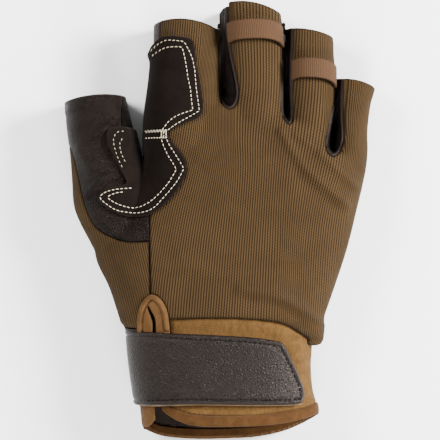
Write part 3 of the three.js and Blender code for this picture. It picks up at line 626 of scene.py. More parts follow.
# Ribs that follow the piece's own rib lines: x counts across the ribs, y along them, in metres.
def makeRibs():
    tree, ins, outs = newGroup("rib weave", {"Pitch": 0.00106, "Wander": 0.16, "Yarn": 0.0012},
                               ["Height", "Valley", "Twill"])
    ribs = add(tree, "ShaderNodeAttribute", attribute_name="ribs").outputs["Vector"]
    split = add(tree, "ShaderNodeSeparateXYZ", {0: ribs}).outputs
    wave = calc(tree, "MULTIPLY", calc(tree, "SUBTRACT", noise(tree, 160, 2), 0.5), ins["Wander"])
    count = calc(tree, "ADD", calc(tree, "DIVIDE", split[0], ins["Pitch"]), wave)
    side = calc(tree, "SUBTRACT", calc(tree, "FRACT", count), 0.5)
    side = calc(tree, "MULTIPLY", calc(tree, "ABSOLUTE", side), 2.0)
    turn = calc(tree, "MULTIPLY", calc(tree, "FLOOR", count), 2.4)
    yarn = calc(tree, "SINE", calc(tree, "ADD", calc(tree, "MULTIPLY", calc(
        tree, "DIVIDE", split[1], ins["Yarn"]), 6.2832), turn))
    yarn = calc(tree, "MULTIPLY_ADD", yarn, 0.5, 0.5)
    valley = fade(tree, side, 0.28, 0.78)
    dashed = calc(tree, "MULTIPLY", valley, calc(tree, "MULTIPLY_ADD", yarn, 1.0, 0.18))
    height = calc(tree, "SUBTRACT", 1.0, calc(tree, "POWER", side, 2.6))
    tree.links.new(calc(tree, "MULTIPLY_ADD", yarn, 0.12, height), outs["Height"])
    tree.links.new(dashed, outs["Valley"])
    tree.links.new(yarn, outs["Twill"])
    return tree


# Pebbled grain: cells with creases between them, over broader wrinkles.
def makeGrain():
    tree, ins, outs = newGroup("pebble grain", {"Scale": 1300, "Wrinkle": 260, "Swell": 0.9, "Round": 0.32},
                               ["Height", "Crease", "Tone"])
    place = objectPlace(tree)
    drift = add(tree, "ShaderNodeTexNoise", {"Vector": place, "Scale": 500, "Detail": 2.0}).outputs["Color"]
    bent = add(tree, "ShaderNodeVectorMath", {0: place, 1: add(tree, "ShaderNodeVectorMath", {
        0: drift, 3: 0.0009}, operation="SCALE").outputs[0]}, operation="ADD").outputs[0]
    cells = add(tree, "ShaderNodeTexVoronoi", {"Vector": bent, "Scale": ins["Scale"]},
                feature="DISTANCE_TO_EDGE").outputs["Distance"]
    pebble = fade(tree, cells, 0.0, ins["Round"])
    finer = calc(tree, "MULTIPLY", ins["Scale"], 2.3)
    fine = add(tree, "ShaderNodeTexVoronoi", {"Vector": bent, "Scale": finer},
               feature="DISTANCE_TO_EDGE").outputs["Distance"]
    wrinkle = noise(tree, ins["Wrinkle"], 4, 0.55, place, 0.6)
    mixed = calc(tree, "MULTIPLY_ADD", fade(tree, fine, 0.0, 0.3), 0.25, calc(tree, "MULTIPLY", pebble, 0.75))
    tree.links.new(calc(tree, "MULTIPLY_ADD", wrinkle, ins["Swell"], mixed), outs["Height"])
    tree.links.new(calc(tree, "SUBTRACT", 1.0, pebble), outs["Crease"])
    tree.links.new(wrinkle, outs["Tone"])
    return tree


# Nap of suede and brushed cloth: fine fuzz and broad brushed patches.
def makeNap():
    tree, ins, outs = newGroup("soft nap", {"Fuzz": 5200, "Patch": 110}, ["Height", "Tone"])
    fuzz = noise(tree, ins["Fuzz"], 3, 0.6)
    patches = noise(tree, ins["Patch"], 3, 0.6, None, 0.8)
    tree.links.new(calc(tree, "MULTIPLY_ADD", patches, 0.3, fuzz), outs["Height"])
    tree.links.new(calc(tree, "ADD", calc(tree, "MULTIPLY", fuzz, 0.5), calc(tree, "MULTIPLY", patches, 0.5)),
                   outs["Tone"])
    return tree


# Near 1 at a piece's edge, fading inwards over a reach in metres. The materials use it for edge tone, for
# painted shade along fabric seams and for painted highlights on leather rims and bindings.
def makeEdge():
    tree, ins, outs = newGroup("edge tone and painted light", {"Reach": 0.001, "Uneven": 0.5}, ["Mask"])
    edge = add(tree, "ShaderNodeAttribute", attribute_name="edge").outputs["Fac"]
    rough = calc(tree, "MULTIPLY", calc(tree, "SUBTRACT", noise(tree, 700, 3), 0.5), ins["Uneven"])
    near = calc(tree, "SUBTRACT", 1.0, calc(tree, "ADD", calc(tree, "DIVIDE", edge, ins["Reach"]), rough))
    tree.links.new(fade(tree, near, 0.0, 1.0), outs["Mask"])
    return tree


ribGroup, grainGroup, napGroup, edgeGroup = makeRibs(), makeGrain(), makeNap(), makeEdge()


def rgba(colour, times=1.0):
    return (*[c * times for c in colour], 1)


def newMaterial(name):
    material = bpy.data.materials.new(name)
    material.use_nodes = True
    return material, material.node_tree, material.node_tree.nodes["Principled BSDF"].inputs


def bump(tree, height, distance):
    return add(tree, "ShaderNodeBump", {"Height": height, "Distance": distance}).outputs[0]


def fabricMaterial(name, look):
    material, tree, shader = newMaterial(name)
    ribs = placeGroup(tree, ribGroup, Pitch=look["pitch"])
    edgeWearAndPaintedLight = placeGroup(tree, edgeGroup, Reach=0.0011)["Mask"]
    nap = placeGroup(tree, napGroup, Patch=60.0)["Tone"]
    light = blend(tree, fade(tree, nap, 0.35, 0.65), rgba(look["light"], 0.86), rgba(look["light"], 1.12))
    # Rib valleys turn to the valley colour: painted shade in the grooves between the ribs.
    colour = blend(tree, ribs["Valley"], light, rgba(look["valley"]))
    # Along the seams the colour darkens towards the valley colour: painted shade where panels meet.
    colour = blend(tree, calc(tree, "MULTIPLY", edgeWearAndPaintedLight, look["seamShade"]), colour, rgba(look["valley"]))
    tree.links.new(colour, shader["Base Color"])
    shader["Roughness"].default_value = 0.88
    shader["Specular IOR Level"].default_value = 0.05
    tree.links.new(bump(tree, ribs["Height"], look["depth"]), shader["Normal"])
    return material


def leatherMaterial(name, look):
    material, tree, shader = newMaterial(name)
    grain = placeGroup(tree, grainGroup, Scale=look["scale"], Wrinkle=look["wrinkle"], Swell=look["swell"],
                       Round=look["round"])
    edgeWearAndPaintedLight = placeGroup(tree, edgeGroup, Reach=look["edge"])["Mask"]
    # Creases between the pebbles are darkened: painted shade in the grain's creases.
    colour = blend(tree, grain["Crease"], rgba(look["colour"]), rgba(look["colour"], 0.45))
    colour = blend(tree, fade(tree, grain["Tone"], 0.3, 0.7), colour, rgba(look["warm"]))
    # Towards the edge the colour turns to the edge colour: on the fourchettes a lighter rim that is painted
    # highlight, on the other leathers an edge tone.
    colour = blend(tree, calc(tree, "MULTIPLY", edgeWearAndPaintedLight, look["edgeAmount"]), colour, rgba(look["edgeWearAndPaintedLight"]))
    tree.links.new(colour, shader["Base Color"])
    low, high = look["gloss"] - look["mottle"], look["gloss"] + look["mottle"]
    rough = fade(tree, grain["Tone"], 0.25, 0.75, low, high)
    tree.links.new(calc(tree, "MULTIPLY_ADD", grain["Crease"], look["matte"], rough), shader["Roughness"])
    shader["Specular IOR Level"].default_value = look["shine"]
    shader["Specular Tint"].default_value = (1, 0.84, 0.76, 1)
    tree.links.new(bump(tree, grain["Height"], look["depth"]), shader["Normal"])
    return material


def suedeMaterial(name, look):
    material, tree, shader = newMaterial(name)
    nap = placeGroup(tree, napGroup, Fuzz=look["fuzz"], Patch=look["patch"])
    edgeWearAndPaintedLight = placeGroup(tree, edgeGroup, Reach=look["edge"])["Mask"]
    colour = blend(tree, fade(tree, nap["Tone"], 0.36, 0.64), rgba(look["colour"], 0.78),
                   rgba(look["colour"], 1.3))
    tall = add(tree, "ShaderNodeVectorMath", {0: objectPlace(tree), 1: (1, 0.12, 0.3)},
               operation="MULTIPLY").outputs[0]
    streaks = fade(tree, noise(tree, 1900, 2, 0.5, tall), 0.42, 0.62, 0.0, look["streak"])
    colour = blend(tree, streaks, colour, rgba(look["colour"], 0.35))
    # Towards the edge the colour turns to the edge colour: on the bindings a lighter rolled edge that is
    # painted highlight, on the cuff band a darker edge, on the patch and tape a lighter one.
    colour = blend(tree, calc(tree, "MULTIPLY", edgeWearAndPaintedLight, look["edgeAmount"]), colour, rgba(look["edgeWearAndPaintedLight"]))
    tree.links.new(colour, shader["Base Color"])
    shader["Roughness"].default_value = 0.95
    shader["Specular IOR Level"].default_value = 0.04
    shader["Sheen Weight"].default_value = look["sheen"]
    shader["Sheen Roughness"].default_value = 0.4
    tree.links.new(bump(tree, nap["Height"], look["depth"]), shader["Normal"])
    return material


# Flat webbing: fine warp lines along the finger, crossed by the weft, in its own weave coordinates.
def webbingMaterial(name, look):
    material, tree, shader = newMaterial(name)
    weave = add(tree, "ShaderNodeAttribute", attribute_name="ribs").outputs["Vector"]
    split = add(tree, "ShaderNodeSeparateXYZ", {0: weave}).outputs
    warp = calc(tree, "SINE", calc(tree, "MULTIPLY", split[0], 6.2832 / look["warp"]))
    weft = calc(tree, "SINE", calc(tree, "ADD", calc(tree, "MULTIPLY", split[1], 6.2832 / look["weft"]),
                                   calc(tree, "MULTIPLY", split[0], 3.1416 / look["warp"])))
    yarn = calc(tree, "MULTIPLY_ADD", calc(tree, "ADD", warp, calc(tree, "MULTIPLY", weft, 0.6)), 0.3, 0.5)
    nap = placeGroup(tree, napGroup, Fuzz=4000.0, Patch=200.0)["Tone"]
    edgeWearAndPaintedLight = placeGroup(tree, edgeGroup, Reach=0.0007)["Mask"]
    # Yarns turn lighter and the gaps between them darker: the yarn lines are the weave, and their dark gaps
    # are painted shade.
    colour = blend(tree, yarn, rgba(look["colour"], 0.38), rgba(look["colour"], 1.5))
    colour = blend(tree, fade(tree, nap, 0.35, 0.65, 0.0, 0.35), colour, rgba(look["colour"], 0.7))
    colour = blend(tree, calc(tree, "MULTIPLY", edgeWearAndPaintedLight, 0.6), colour, rgba(look["colour"], 0.4))
    tree.links.new(colour, shader["Base Color"])
    shader["Roughness"].default_value = 0.85
    shader["Specular IOR Level"].default_value = 0.08
    tree.links.new(bump(tree, yarn, 0.00012), shader["Normal"])
    return material


def threadMaterial(name, colour):
    material, tree, shader = newMaterial(name)
    nap = noise(tree, 3500, 2)
    tree.links.new(blend(tree, fade(tree, nap, 0.35, 0.65), rgba(colour, 0.75), rgba(colour, 1.1)),
                   shader["Base Color"])
    shader["Roughness"].default_value = 0.75
    shader["Specular IOR Level"].default_value = 0.08
    tree.links.new(bump(tree, nap, 0.00005), shader["Normal"])
    return material


def plainMaterial(name, colour, roughness):
    material, tree, shader = newMaterial(name)
    shader["Base Color"].default_value = rgba(colour)
    shader["Roughness"].default_value = roughness
    return material


# The valley colour is painted shade, for the grooves between ribs and for the seams.
fabric = fabricMaterial("ribbed fabric", {
    "light": (0.0388, 0.0226, 0.0092), "valley": (0.0032, 0.0017, 0.0007), "pitch": 0.00104, "depth": 0.0003,
    "seamShade": 0.6})
leatherLook = {"scale": 1150.0, "wrinkle": 240.0, "swell": 0.7, "round": 0.32, "mottle": 0.08, "matte": 0.1,
               "edge": 0.0009, "edgeAmount": 0.3, "depth": 0.0002}
leather = leatherMaterial("grain leather", {
    **leatherLook, "colour": (0.0026, 0.0015, 0.0012), "warm": (0.0041, 0.0023, 0.0018),
    "edgeWearAndPaintedLight": (0.02, 0.013, 0.0105), "gloss": 0.3, "shine": 0.08, "depth": 0.00026})
# The fourchette leather's light edge colour paints a highlight along the rim bead of each fourchette.
webLeather = leatherMaterial("fourchette leather", {
    **leatherLook, "colour": (0.0032, 0.0023, 0.0019), "warm": (0.005, 0.0033, 0.0027),
    "edgeWearAndPaintedLight": (0.034, 0.025, 0.021), "scale": 1500.0, "wrinkle": 300.0, "swell": 0.5, "mottle": 0.06,
    "edge": 0.0007, "edgeAmount": 0.6, "gloss": 0.42, "shine": 0.07, "depth": 0.00012})
palmLeather = leatherMaterial("palm leather", {
    **leatherLook, "colour": (0.009, 0.006, 0.0048), "warm": (0.013, 0.0085, 0.0063),
    "edgeWearAndPaintedLight": (0.025, 0.017, 0.012), "scale": 1000.0, "wrinkle": 200.0, "swell": 0.6, "mottle": 0.06,
    "edge": 0.001, "gloss": 0.5, "shine": 0.14, "depth": 0.00014})
# The thumb's side panel is the grain leather made darker: painted shade, as that side lies in shade.
shadedSideLeather = leatherMaterial("shaded side leather", {
    **leatherLook, "colour": (0.0013, 0.0009, 0.0007), "warm": (0.0021, 0.0014, 0.0011),
    "edgeWearAndPaintedLight": (0.007, 0.005, 0.004), "gloss": 0.4, "shine": 0.035})
strapLeather = leatherMaterial("strap leather", {
    **leatherLook, "colour": (0.0024, 0.0015, 0.0013), "warm": (0.0032, 0.0020, 0.0017),
    "edgeWearAndPaintedLight": (0.0018, 0.0012, 0.001), "scale": 850.0, "wrinkle": 420.0, "swell": 0.35, "round": 0.52,
    "mottle": 0.015, "matte": 0.2, "edge": 0.001, "edgeAmount": 0.35, "gloss": 0.27, "shine": 0.185,
    "depth": 0.00021})
suedeLook = {"fuzz": 2300.0, "patch": 200.0, "edge": 0.0007, "edgeAmount": 0.35, "sheen": 0.03, "depth": 0.00015,
             "streak": 0.1}
suede = suedeMaterial("patch suede", {
    **suedeLook, "colour": (0.0042, 0.0027, 0.002), "edgeWearAndPaintedLight": (0.009, 0.006, 0.0045), "fuzz": 5200.0,
    "patch": 140.0, "edge": 0.0012, "edgeAmount": 0.5, "sheen": 0.02, "depth": 0.00012, "streak": 0.0})
cuffSuede = suedeMaterial("cuff suede", {
    **suedeLook, "colour": (0.0740, 0.0385, 0.0123), "edgeWearAndPaintedLight": (0.045, 0.02, 0.006), "patch": 170.0,
    "edge": 0.0012, "edgeAmount": 0.6, "depth": 0.0003, "streak": 0.3})
# The binding's lighter edge colour paints a highlight along its rolled edges.
bindingLeather = suedeMaterial("tan binding", {
    **suedeLook, "colour": (0.0425, 0.0197, 0.0067), "edgeWearAndPaintedLight": (0.07, 0.034, 0.0125)})
# The vent's binding is the tan binding made lighter: painted light where the vent lies in shade.
litVentLeather = suedeMaterial("lit vent binding", {
    **suedeLook, "colour": (0.062, 0.031, 0.0115), "edgeWearAndPaintedLight": (0.08, 0.042, 0.017)})
backingTape = suedeMaterial("backing tape", {
    **suedeLook, "colour": (0.13, 0.082, 0.045), "edgeWearAndPaintedLight": (0.16, 0.105, 0.06), "edgeAmount": 0.3, "sheen": 0.02,
    "depth": 0.0001, "streak": 0.0})
webbing = webbingMaterial("loop webbing", {
    "colour": (0.0490, 0.0252, 0.0121), "warp": 0.00096, "weft": 0.0009})
creamThread = threadMaterial("cream thread", (0.5, 0.43, 0.32))
darkThread = threadMaterial("dark thread", (0.0022, 0.0015, 0.0011))
tanThread = threadMaterial("brown thread", (0.045, 0.014, 0.006))
oliveThread = threadMaterial("olive thread", (0.044, 0.027, 0.0115))


# Rib lines of the back's fabric from the cuff to the fingertips: places of eight ribs at each height of
# the drawing. Where a panel turns down at its sides, the ribs count on.
ribs = {"spare": 60, "lowest": 350, "highest": -10, "middle": 240, "sideStart": 60, "sideEnd": 100,
        "turnsAt": 23, "turnDepth": 20, "turnRate": 0.9}
ribRows = [
    (350, [156, 189, 221, 250, 276, 297, 317, 338]), (300, [159, 193, 225, 252, 278, 300, 322, 345]),
    (250, [166, 198, 229, 255, 280, 302, 325, 351]), (210, [174, 204, 233, 258, 281, 307, 330, 356]),
    (170, [184, 212, 236, 261, 284, 315, 342, 362]), (140, [191, 217, 235, 262, 288, 322, 346, 365]),
    (110, [195, 217, 235, 266, 292, 326, 347, 368]), (80, [198, 216, 238, 268, 295, 328, 350, 372]),
    (40, [202, 219, 236, 268, 297, 327, 354, 378]), (-10, [206, 222, 233, 268, 300, 326, 359, 386]),
]
ribCounts = [174, 204, 233, 258, 281, 307, 330, 356]


# Lays the rib lines over a panel; lean turns them further, and the sides count on down the wall.
def layRibs(mesh, lean=0.0, mirrored=False):
    p = coords(mesh)
    square, spare = drawing["square"] * mm, ribs["spare"]
    px, py = p[:, 0] / square + drawing["x"], drawing["y"] - p[:, 1] / square
    table = [(-y, row[0] - spare, *row, row[-1] + spare) for y, row in ribRows]
    guides = tableAt(table, -np.clip(py, ribs["highest"], ribs["lowest"]))
    counts = [ribCounts[0] - spare, *ribCounts, ribCounts[-1] + spare]
    if mirrored:
        across = px + (py - drawing["y"]) * -lean
    else:
        across = np.zeros(len(p))
        for k in range(len(counts) - 1):
            a, b = guides[k], guides[k + 1]
            here = (px >= a if k else px > -1e9) & (px < b if k < len(counts) - 2 else px < 1e9)
            across = np.where(here, counts[k] + (px - a) / (b - a) * (counts[k + 1] - counts[k]), across)
    away = px - ribs["middle"]
    down = np.clip(ribs["turnsAt"] - p[:, 2] / mm, 0, ribs["turnDepth"])
    side = np.sign(away) * down * ribs["turnRate"] / drawing["square"]
    outer = np.clip((np.abs(away) - ribs["sideStart"]) / (ribs["sideEnd"] - ribs["sideStart"]), 0, 1)
    across = across + side * outer
    store(mesh, "ribs", np.column_stack([across * square, p[:, 1], p[:, 2] * 0]))
    return mesh


backFolds = [
    {"line": sketch([(281, 133), (290, 149), (299, 162), (310, 174), (329, 190), (346, 205)]), "high": 1.5,
     "wide": 2.2},
    {"line": sketch([(319, 154), (332, 166), (343, 176), (356, 187)]), "high": 1.3, "wide": 1.9},
    {"line": sketch([(296, 136), (303, 141), (312, 148)]), "high": 0.7, "wide": 1.6},
    {"line": sketch([(296, 176), (312, 190), (334, 208)]), "high": -0.8, "wide": 2.4},
    {"line": sketch([(240, 288), (276, 295), (300, 308), (313, 316), (322, 326)]), "high": 1.5, "wide": 2.6},
    {"line": sketch([(250, 302), (280, 308), (300, 318)]), "high": -0.7, "wide": 2.6},
]
thumbFolds = [
    {"line": sketch([(96, 136), (104, 130), (113, 123)]), "high": 1.1, "wide": 1.7},
    {"line": sketch([(84, 128), (93, 124), (104, 119)]), "high": -0.6, "wide": 1.8},
    {"line": sketch([(93, 187), (100, 181), (108, 176)]), "high": 1.0, "wide": 1.5},
    {"line": sketch([(90, 197), (97, 189), (103, 186)]), "high": -0.6, "wide": 1.4},
    {"line": sketch([(80, 150), (88, 163), (92, 176)]), "high": 0.8, "wide": 2.6},
    {"line": sketch([(104, 140), (105, 155), (110, 172), (118, 185)]), "high": -0.9, "wide": 3.0},
]


# The back's wrist edge tucks in under the roll of cloth above it.
def tuck(points, edge):
    away = lineDistance(points[:, :2], smoothLine(backWristEdge)) / mm
    right = smoothStep(points[:, 0], 0.02, 0.045)
    under = (0.9 + 2.6 * right) * np.clip(1 - away / (2.2 + 2 * right), 0, 1) ** 1.6
    return right * 0.6 * bell(away, 5, 2.6) - under


print("cutting the panels")
backMesh = cutOut(handSkin, allOf(overSeam, *[without(w) for w in webs.values()], without(indexSide),
                                  without(vent), within(back), within(handSide), beyondHem))
finishPiece("backPanel", layRibs(shape(backMesh, folds=backFolds, hem=0.2, relief=tuck)), fabric,
            ["back_panel"])
thumbBackMesh = cutOut(handSkin, allOf(overSeam, within(thumbBack), without(vent)))
finishPiece("thumbBackPanel", layRibs(shape(thumbBackMesh), 0.25, True), fabric,
            ["thumb_back_panel"])


# A panel's seam allowance runs on under its neighbour, beyond the outline; the palm's only above its seam.
def underlap(outline, lowest=-1, depth=1.4):
    def relief(points, edge):
        away = lineDistance(points[:, :2], outline, closed=True) / mm
        return -depth * smoothStep(away, -0.25, 0.25) * (points[:, 2] > lowest * mm)
    return relief


thumbMesh = cutOut(handSkin, allOf(wider(thumbLeather, 0.9), without(thumbSide), beyondHem))
shape(refine(thumbMesh), sink=0.3, folds=thumbFolds, hem=0.35, relief=underlap(thumbLeather))
finishPiece("thumbPanel", thumbMesh, leather, ["thumb_panel"])


thumbSideMesh = refine(cutOut(handSkin, allOf(within(thumbLeather), wider(thumbSide, 0.9), beyondHem)))
finishPiece("thumbSidePanel", shape(thumbSideMesh, sink=0.3, relief=underlap(thumbSide)), shadedSideLeather,
            ["thumb_side_panel"])

# A fourchette runs on under its neighbours; a thin bead of turned leather stands along the seam.
webRim = {"under": 1.0, "depth": 1.5, "bead": 0.35, "sunk": 0.45}
webCorner = sketch([(190, -70), (229, -70), (229, 5), (222, 7), (217.4, 12.5), (214.6, 20), (214.4, 25),
                    (190, 25)])
for name, outline in webs.items():
    def grown(p):
        return lineDistance(p[:, :2], outline, closed=True) - webRim["under"] * mm

    def rim(points, edge):
        away = lineDistance(points[:, :2], outline, closed=True) / mm
        return (webRim["bead"] * bell(away, -0.65, 0.4) - webRim["depth"] * smoothStep(away, -0.25, 0.25)
                - webRim["sunk"] * smoothStep(-away, 0.9, 1.9))

    webMesh = refine(cutOut(handSkin, allOf(grown, beyondHem, without(webCorner))))
    store(webMesh, "edge", np.abs(lineDistance(coords(webMesh)[:, :2], outline, closed=True)))
    finishPiece(name + "Fourchette", shape(webMesh, sink=0, relief=rim), webLeather,
                ["fourchette_" + name], wall=1.0)
wristWrap = np.vstack([wristPlan([(farLeft, backFoot), (-0.262, backFoot)]),
                       plan([(-0.262, -0.8), (farLeft, -0.8)])])
palmMesh = cutOut(joinedSkin, allOf(anyOf(underSeam, wider(indexSide, 0.9), within(wristWrap)),
                                    without(thumbLeather), *[without(w) for w in webs.values()],
                                    within(palmOutline(4.6)), beyondHem))


def palmRelief(points, edge):
    fingers = points[:, 1] > 0
    return underlap(indexSide, glove["seam"])(points, edge) * fingers * (points[:, 0] > -0.06)


finishPiece("palmPanel", shape(palmMesh, relief=palmRelief), palmLeather, ["palm_panel"])

print("cuff, bindings and strap")
cuffMesh = cutOut(cuffSkin(0), allOf(overSeam, within(cuffOutline(4.6)), without(vent)))
finishPiece("cuffBand", shape(cuffMesh, sink=0.3), cuffSuede, ["cuff_band"])
cuffBindingMesh = cutOut(cuffSkin(0.8), allOf(overSeam, within(cuffOutline(0)), without(cuffOutline(5.2)),
                                             without(vent), without(slit)))
finishPiece("cuffBinding", shape(refine(cuffBindingMesh), roll=1.3, sink=0.9), bindingLeather,
            ["cuff_binding"], wall=2.3)
palmBindingMesh = cutOut(joinedSkin, allOf(underSeam, within(palmOutline(0)), without(palmOutline(6.2))))
finishPiece("palmBinding", shape(refine(palmBindingMesh, 2), roll=1.3, sink=0.9, offset=0.8), bindingLeather,
            ["palm_binding"], wall=2.4)


ventLook = {"foot": -75, "loopFoot": -80, "bead": 0.45, "groove": 0.75, "roll": 0.2}


def ventTop(p):
    return ventLook["foot"] * mm - p[:, 1]


def ventRelief(points, edge):
    away = lineDistance(points[:, :2], smoothLine(ventOval)) / mm
    above = points[:, 1] > ventLook["loopFoot"] * mm
    loop = ventLook["bead"] * bell(away, 0.9, 0.6) - ventLook["groove"] * bell(away, 1.95, 0.28)
    return np.where(above, loop, ventLook["roll"] * bell(edge, 1.2, 0.8))


ventMesh = refine(cutOut(joinedSkin, allOf(overSeam, wider(vent, 0.5), anyOf(ventTop, within(ventLeg)),
                                           without(ventMouth), without(slit))), 2)
finishPiece("ventBinding", shape(ventMesh, roll=0.8, sink=0.6, offset=0.7, relief=ventRelief), litVentLeather,
            ["vent_binding"], wall=1.9)


# The strap's left side, how far it runs on under the palm, a spare beyond the side, how far the tape
# lies off the strap, and how far in the stitch row runs.
strapLook = {"left": -36.7, "under": 24, "spare": 30, "backingShift": (0.3, 0.55, 0),
             "seam": 2.1}


def strapField(p):
    edge = smoothLine(strapEdge)
    left, right = ((strapLook["left"] + by) * mm for by in (-strapLook["spare"], strapLook["under"]))
    top, bottom = edge[0, 1], edge[-1, 1]
    onBack = lineDistance(p[:, :2], np.vstack([edge, [(left, bottom), (left, top)]]), closed=True)
    palm = np.array([(left, bottom), (right, bottom), (right, top), (left, top)])
    onPalm = lineDistance(p[:, :2], palm, closed=True)
    return np.where(p[:, 2] > glove["seam"] * mm, onBack, onPalm)


# The tape shows only along the strap's lower edge.
def backingField(p):
    return strapField(p + np.array(strapLook["backingShift"]) * mm)


backingMesh = cutOut(cuffSkin(1.8), backingField)
finishPiece("strapBacking", shape(backingMesh, sink=0.2), backingTape, ["strap_backing"],
            wall=0.7)
strapMesh = cutOut(cuffSkin(3.4, 400, 150), strapField)


# The strap is padded a little inside its stitch row.
def strapRelief(points, edge):
    return 0.25 * bell(edge, 1.1, 0.7) - 0.4 * bell(edge, 2.1, 0.4) + 0.15 * smoothStep(edge, 2.4, 4.5)


finishPiece("wristStrap", shape(strapMesh, sink=0.5, relief=strapRelief), strapLeather,
            ["strap"])

patchLook = {"foot": 4, "corner": (149.5, 53), "proud": 1.7, "reach": 2.2}
patchLine = smoothLine(patchEdge, closed=True)
patchMesh = cutOut(handSkin, allOf(wider(patchLine, 0), lambda p: patchLook["foot"] * mm - p[:, 2]))
patchCorner = sketch([patchLook["corner"]])


# The patch's folded corner stands proud of the finger's side.
def patchRelief(points, edge):
    away = np.linalg.norm(points[:, :2] - patchCorner, axis=1) / mm
    return patchLook["proud"] * bell(away, 0, patchLook["reach"])


finishPiece("crotchPatch", shape(patchMesh, sink=0.3, offset=1.3, relief=patchRelief), suede,
            ["crotch_patch"], wall=1.0)


# Webbing over a finger: turn, lift and sag towards the wrist; its places are shares of the fingers' length.
loopLook = {"width": 8.6, "lift": 1.4, "thick": 1.1, "onMiddle": 0.803, "onRing": 0.661}
loopPath = [(0.12, 0, 0.5), (0.17, 0.35, 0.42), (0.23, 0.75, 0.3), (0.3, 0.95, 0.18), (0.38, 1, 0.08),
            (0.47, 0.9, 0.02), (0.56, 0.7, 0), (0.65, 0.4, 0.02), (0.735, 0.1, 0.12)]


def pullLoop(name, digit, at, node):
    width, lift, thick = loopLook["width"], loopLook["lift"], loopLook["thick"]
    start, aim, side, reach = digitLine(digit)
    wide = digit["width"] * glove["width"]
    along = digit["root"] * glove["length"] + at * digit["length"] * glove["length"]
    left, right, top = tableAt(digit["rows"], [along / reach])
    bm = bmesh.new()
    bmesh.ops.create_grid(bm, x_segments=70, y_segments=14, size=0.5)
    flat = np.array([v.co[:] for v in bm.verts])
    first, last = loopPath[0][0], loopPath[-1][0]
    run = first + (flat[:, 0] + 0.5) * (last - first)
    rise, sag = tableAt(loopPath, run)
    high = top * digit["thick"] * glove["digit"]
    x, z = ovalPoints(run * math.pi, left * wide, right * wide, high, 0,
                      glove["digitPower"], glove["gap"] + rise * lift + thick)
    place = start + np.outer(along + (flat[:, 1] - sag) * width, aim) + np.outer(x, side)
    for vert, point in zip(bm.verts, np.column_stack([place, z]) * mm):
        vert.co = point
    bmesh.ops.recalc_face_normals(bm, faces=bm.faces)
    if sum(f.normal.z for f in bm.faces) < 0:
        bmesh.ops.reverse_faces(bm, faces=bm.faces)
    mesh = bpy.data.meshes.new(name)
    bm.to_mesh(mesh)
    bm.free()
    weave = np.column_stack([flat[:, 0] * wide * 1.5, flat[:, 1] * width, flat[:, 0] * 0]) * mm
    store(mesh, "ribs", weave)
    store(mesh, "edge", np.minimum(0.5 - np.abs(flat[:, 1]), 0.5) * width * mm)
    finishPiece(name, mesh, webbing, [node], wall=thick)


pullLoop("middlePullLoop", digits["middle"], loopLook["onMiddle"], "pull_loop_middle")
pullLoop("ringPullLoop", digits["ring"], loopLook["onRing"], "pull_loop_ring")

print("stitches")


# Points at even steps along a line, with the way it runs there.
def evenSteps(line, step):
    seg = np.linalg.norm(np.diff(line, axis=0), axis=1)
    run = np.concatenate([[0], np.cumsum(seg)])
    count = max(2, int(round(run[-1] / step)))
    at = (np.arange(count) + 0.5) * run[-1] / count
    xy = np.column_stack([np.interp(at, run, line[:, 0]), np.interp(at, run, line[:, 1])])
    ahead = np.column_stack([np.interp(at + step * 0.3, run, line[:, k]) for k in (0, 1)])
    behind = np.column_stack([np.interp(at - step * 0.3, run, line[:, k]) for k in (0, 1)])
    return xy, ahead - behind


# Rows of thread laid on a piece: each stitch is a short bead that dips in at its ends.
def sew(name, carrier, rows, thread, length=1.5, wide=0.38, gap=0.34, lift=0.1, skew=0.09):
    graph = bpy.context.evaluated_depsgraph_get()
    tree = BVHTree.FromObject(pieces[carrier], graph)
    down = Vector((0, 0, -1))
    bm = bmesh.new()
    random.seed(len(rows) * 31 + len(carrier))
    for row in rows:
        for (x, y), way in zip(*evenSteps(row, (length + gap) * mm)):
            hit, normal, _, _ = tree.ray_cast(Vector((x, y, 0)) - down * 0.08, down)
            if hit is None or abs(normal.z) < 0.12:
                continue
            ahead = Vector((way[0], way[1], 0)).normalized()
            ahead = (ahead - normal * ahead.dot(normal)).normalized()
            ahead.rotate(Matrix.Rotation(random.uniform(-skew, skew), 3, normal))
            side = normal.cross(ahead)
            turn = Matrix((ahead, side, normal)).transposed().to_4x4()
            size = Matrix.Diagonal((length * mm * random.uniform(0.93, 1.05), wide * mm, wide * 0.8 * mm, 1))
            place = Matrix.Translation(hit + normal * lift * mm)
            bmesh.ops.create_uvsphere(bm, u_segments=8, v_segments=6, radius=0.5,
                                      matrix=place @ turn @ size @ Matrix.Rotation(math.pi / 2, 4, "Y"))
    mesh = bpy.data.meshes.new(name)
    bm.to_mesh(mesh)
    bm.free()
    return finishPiece(name, mesh, thread, [], wall=0)


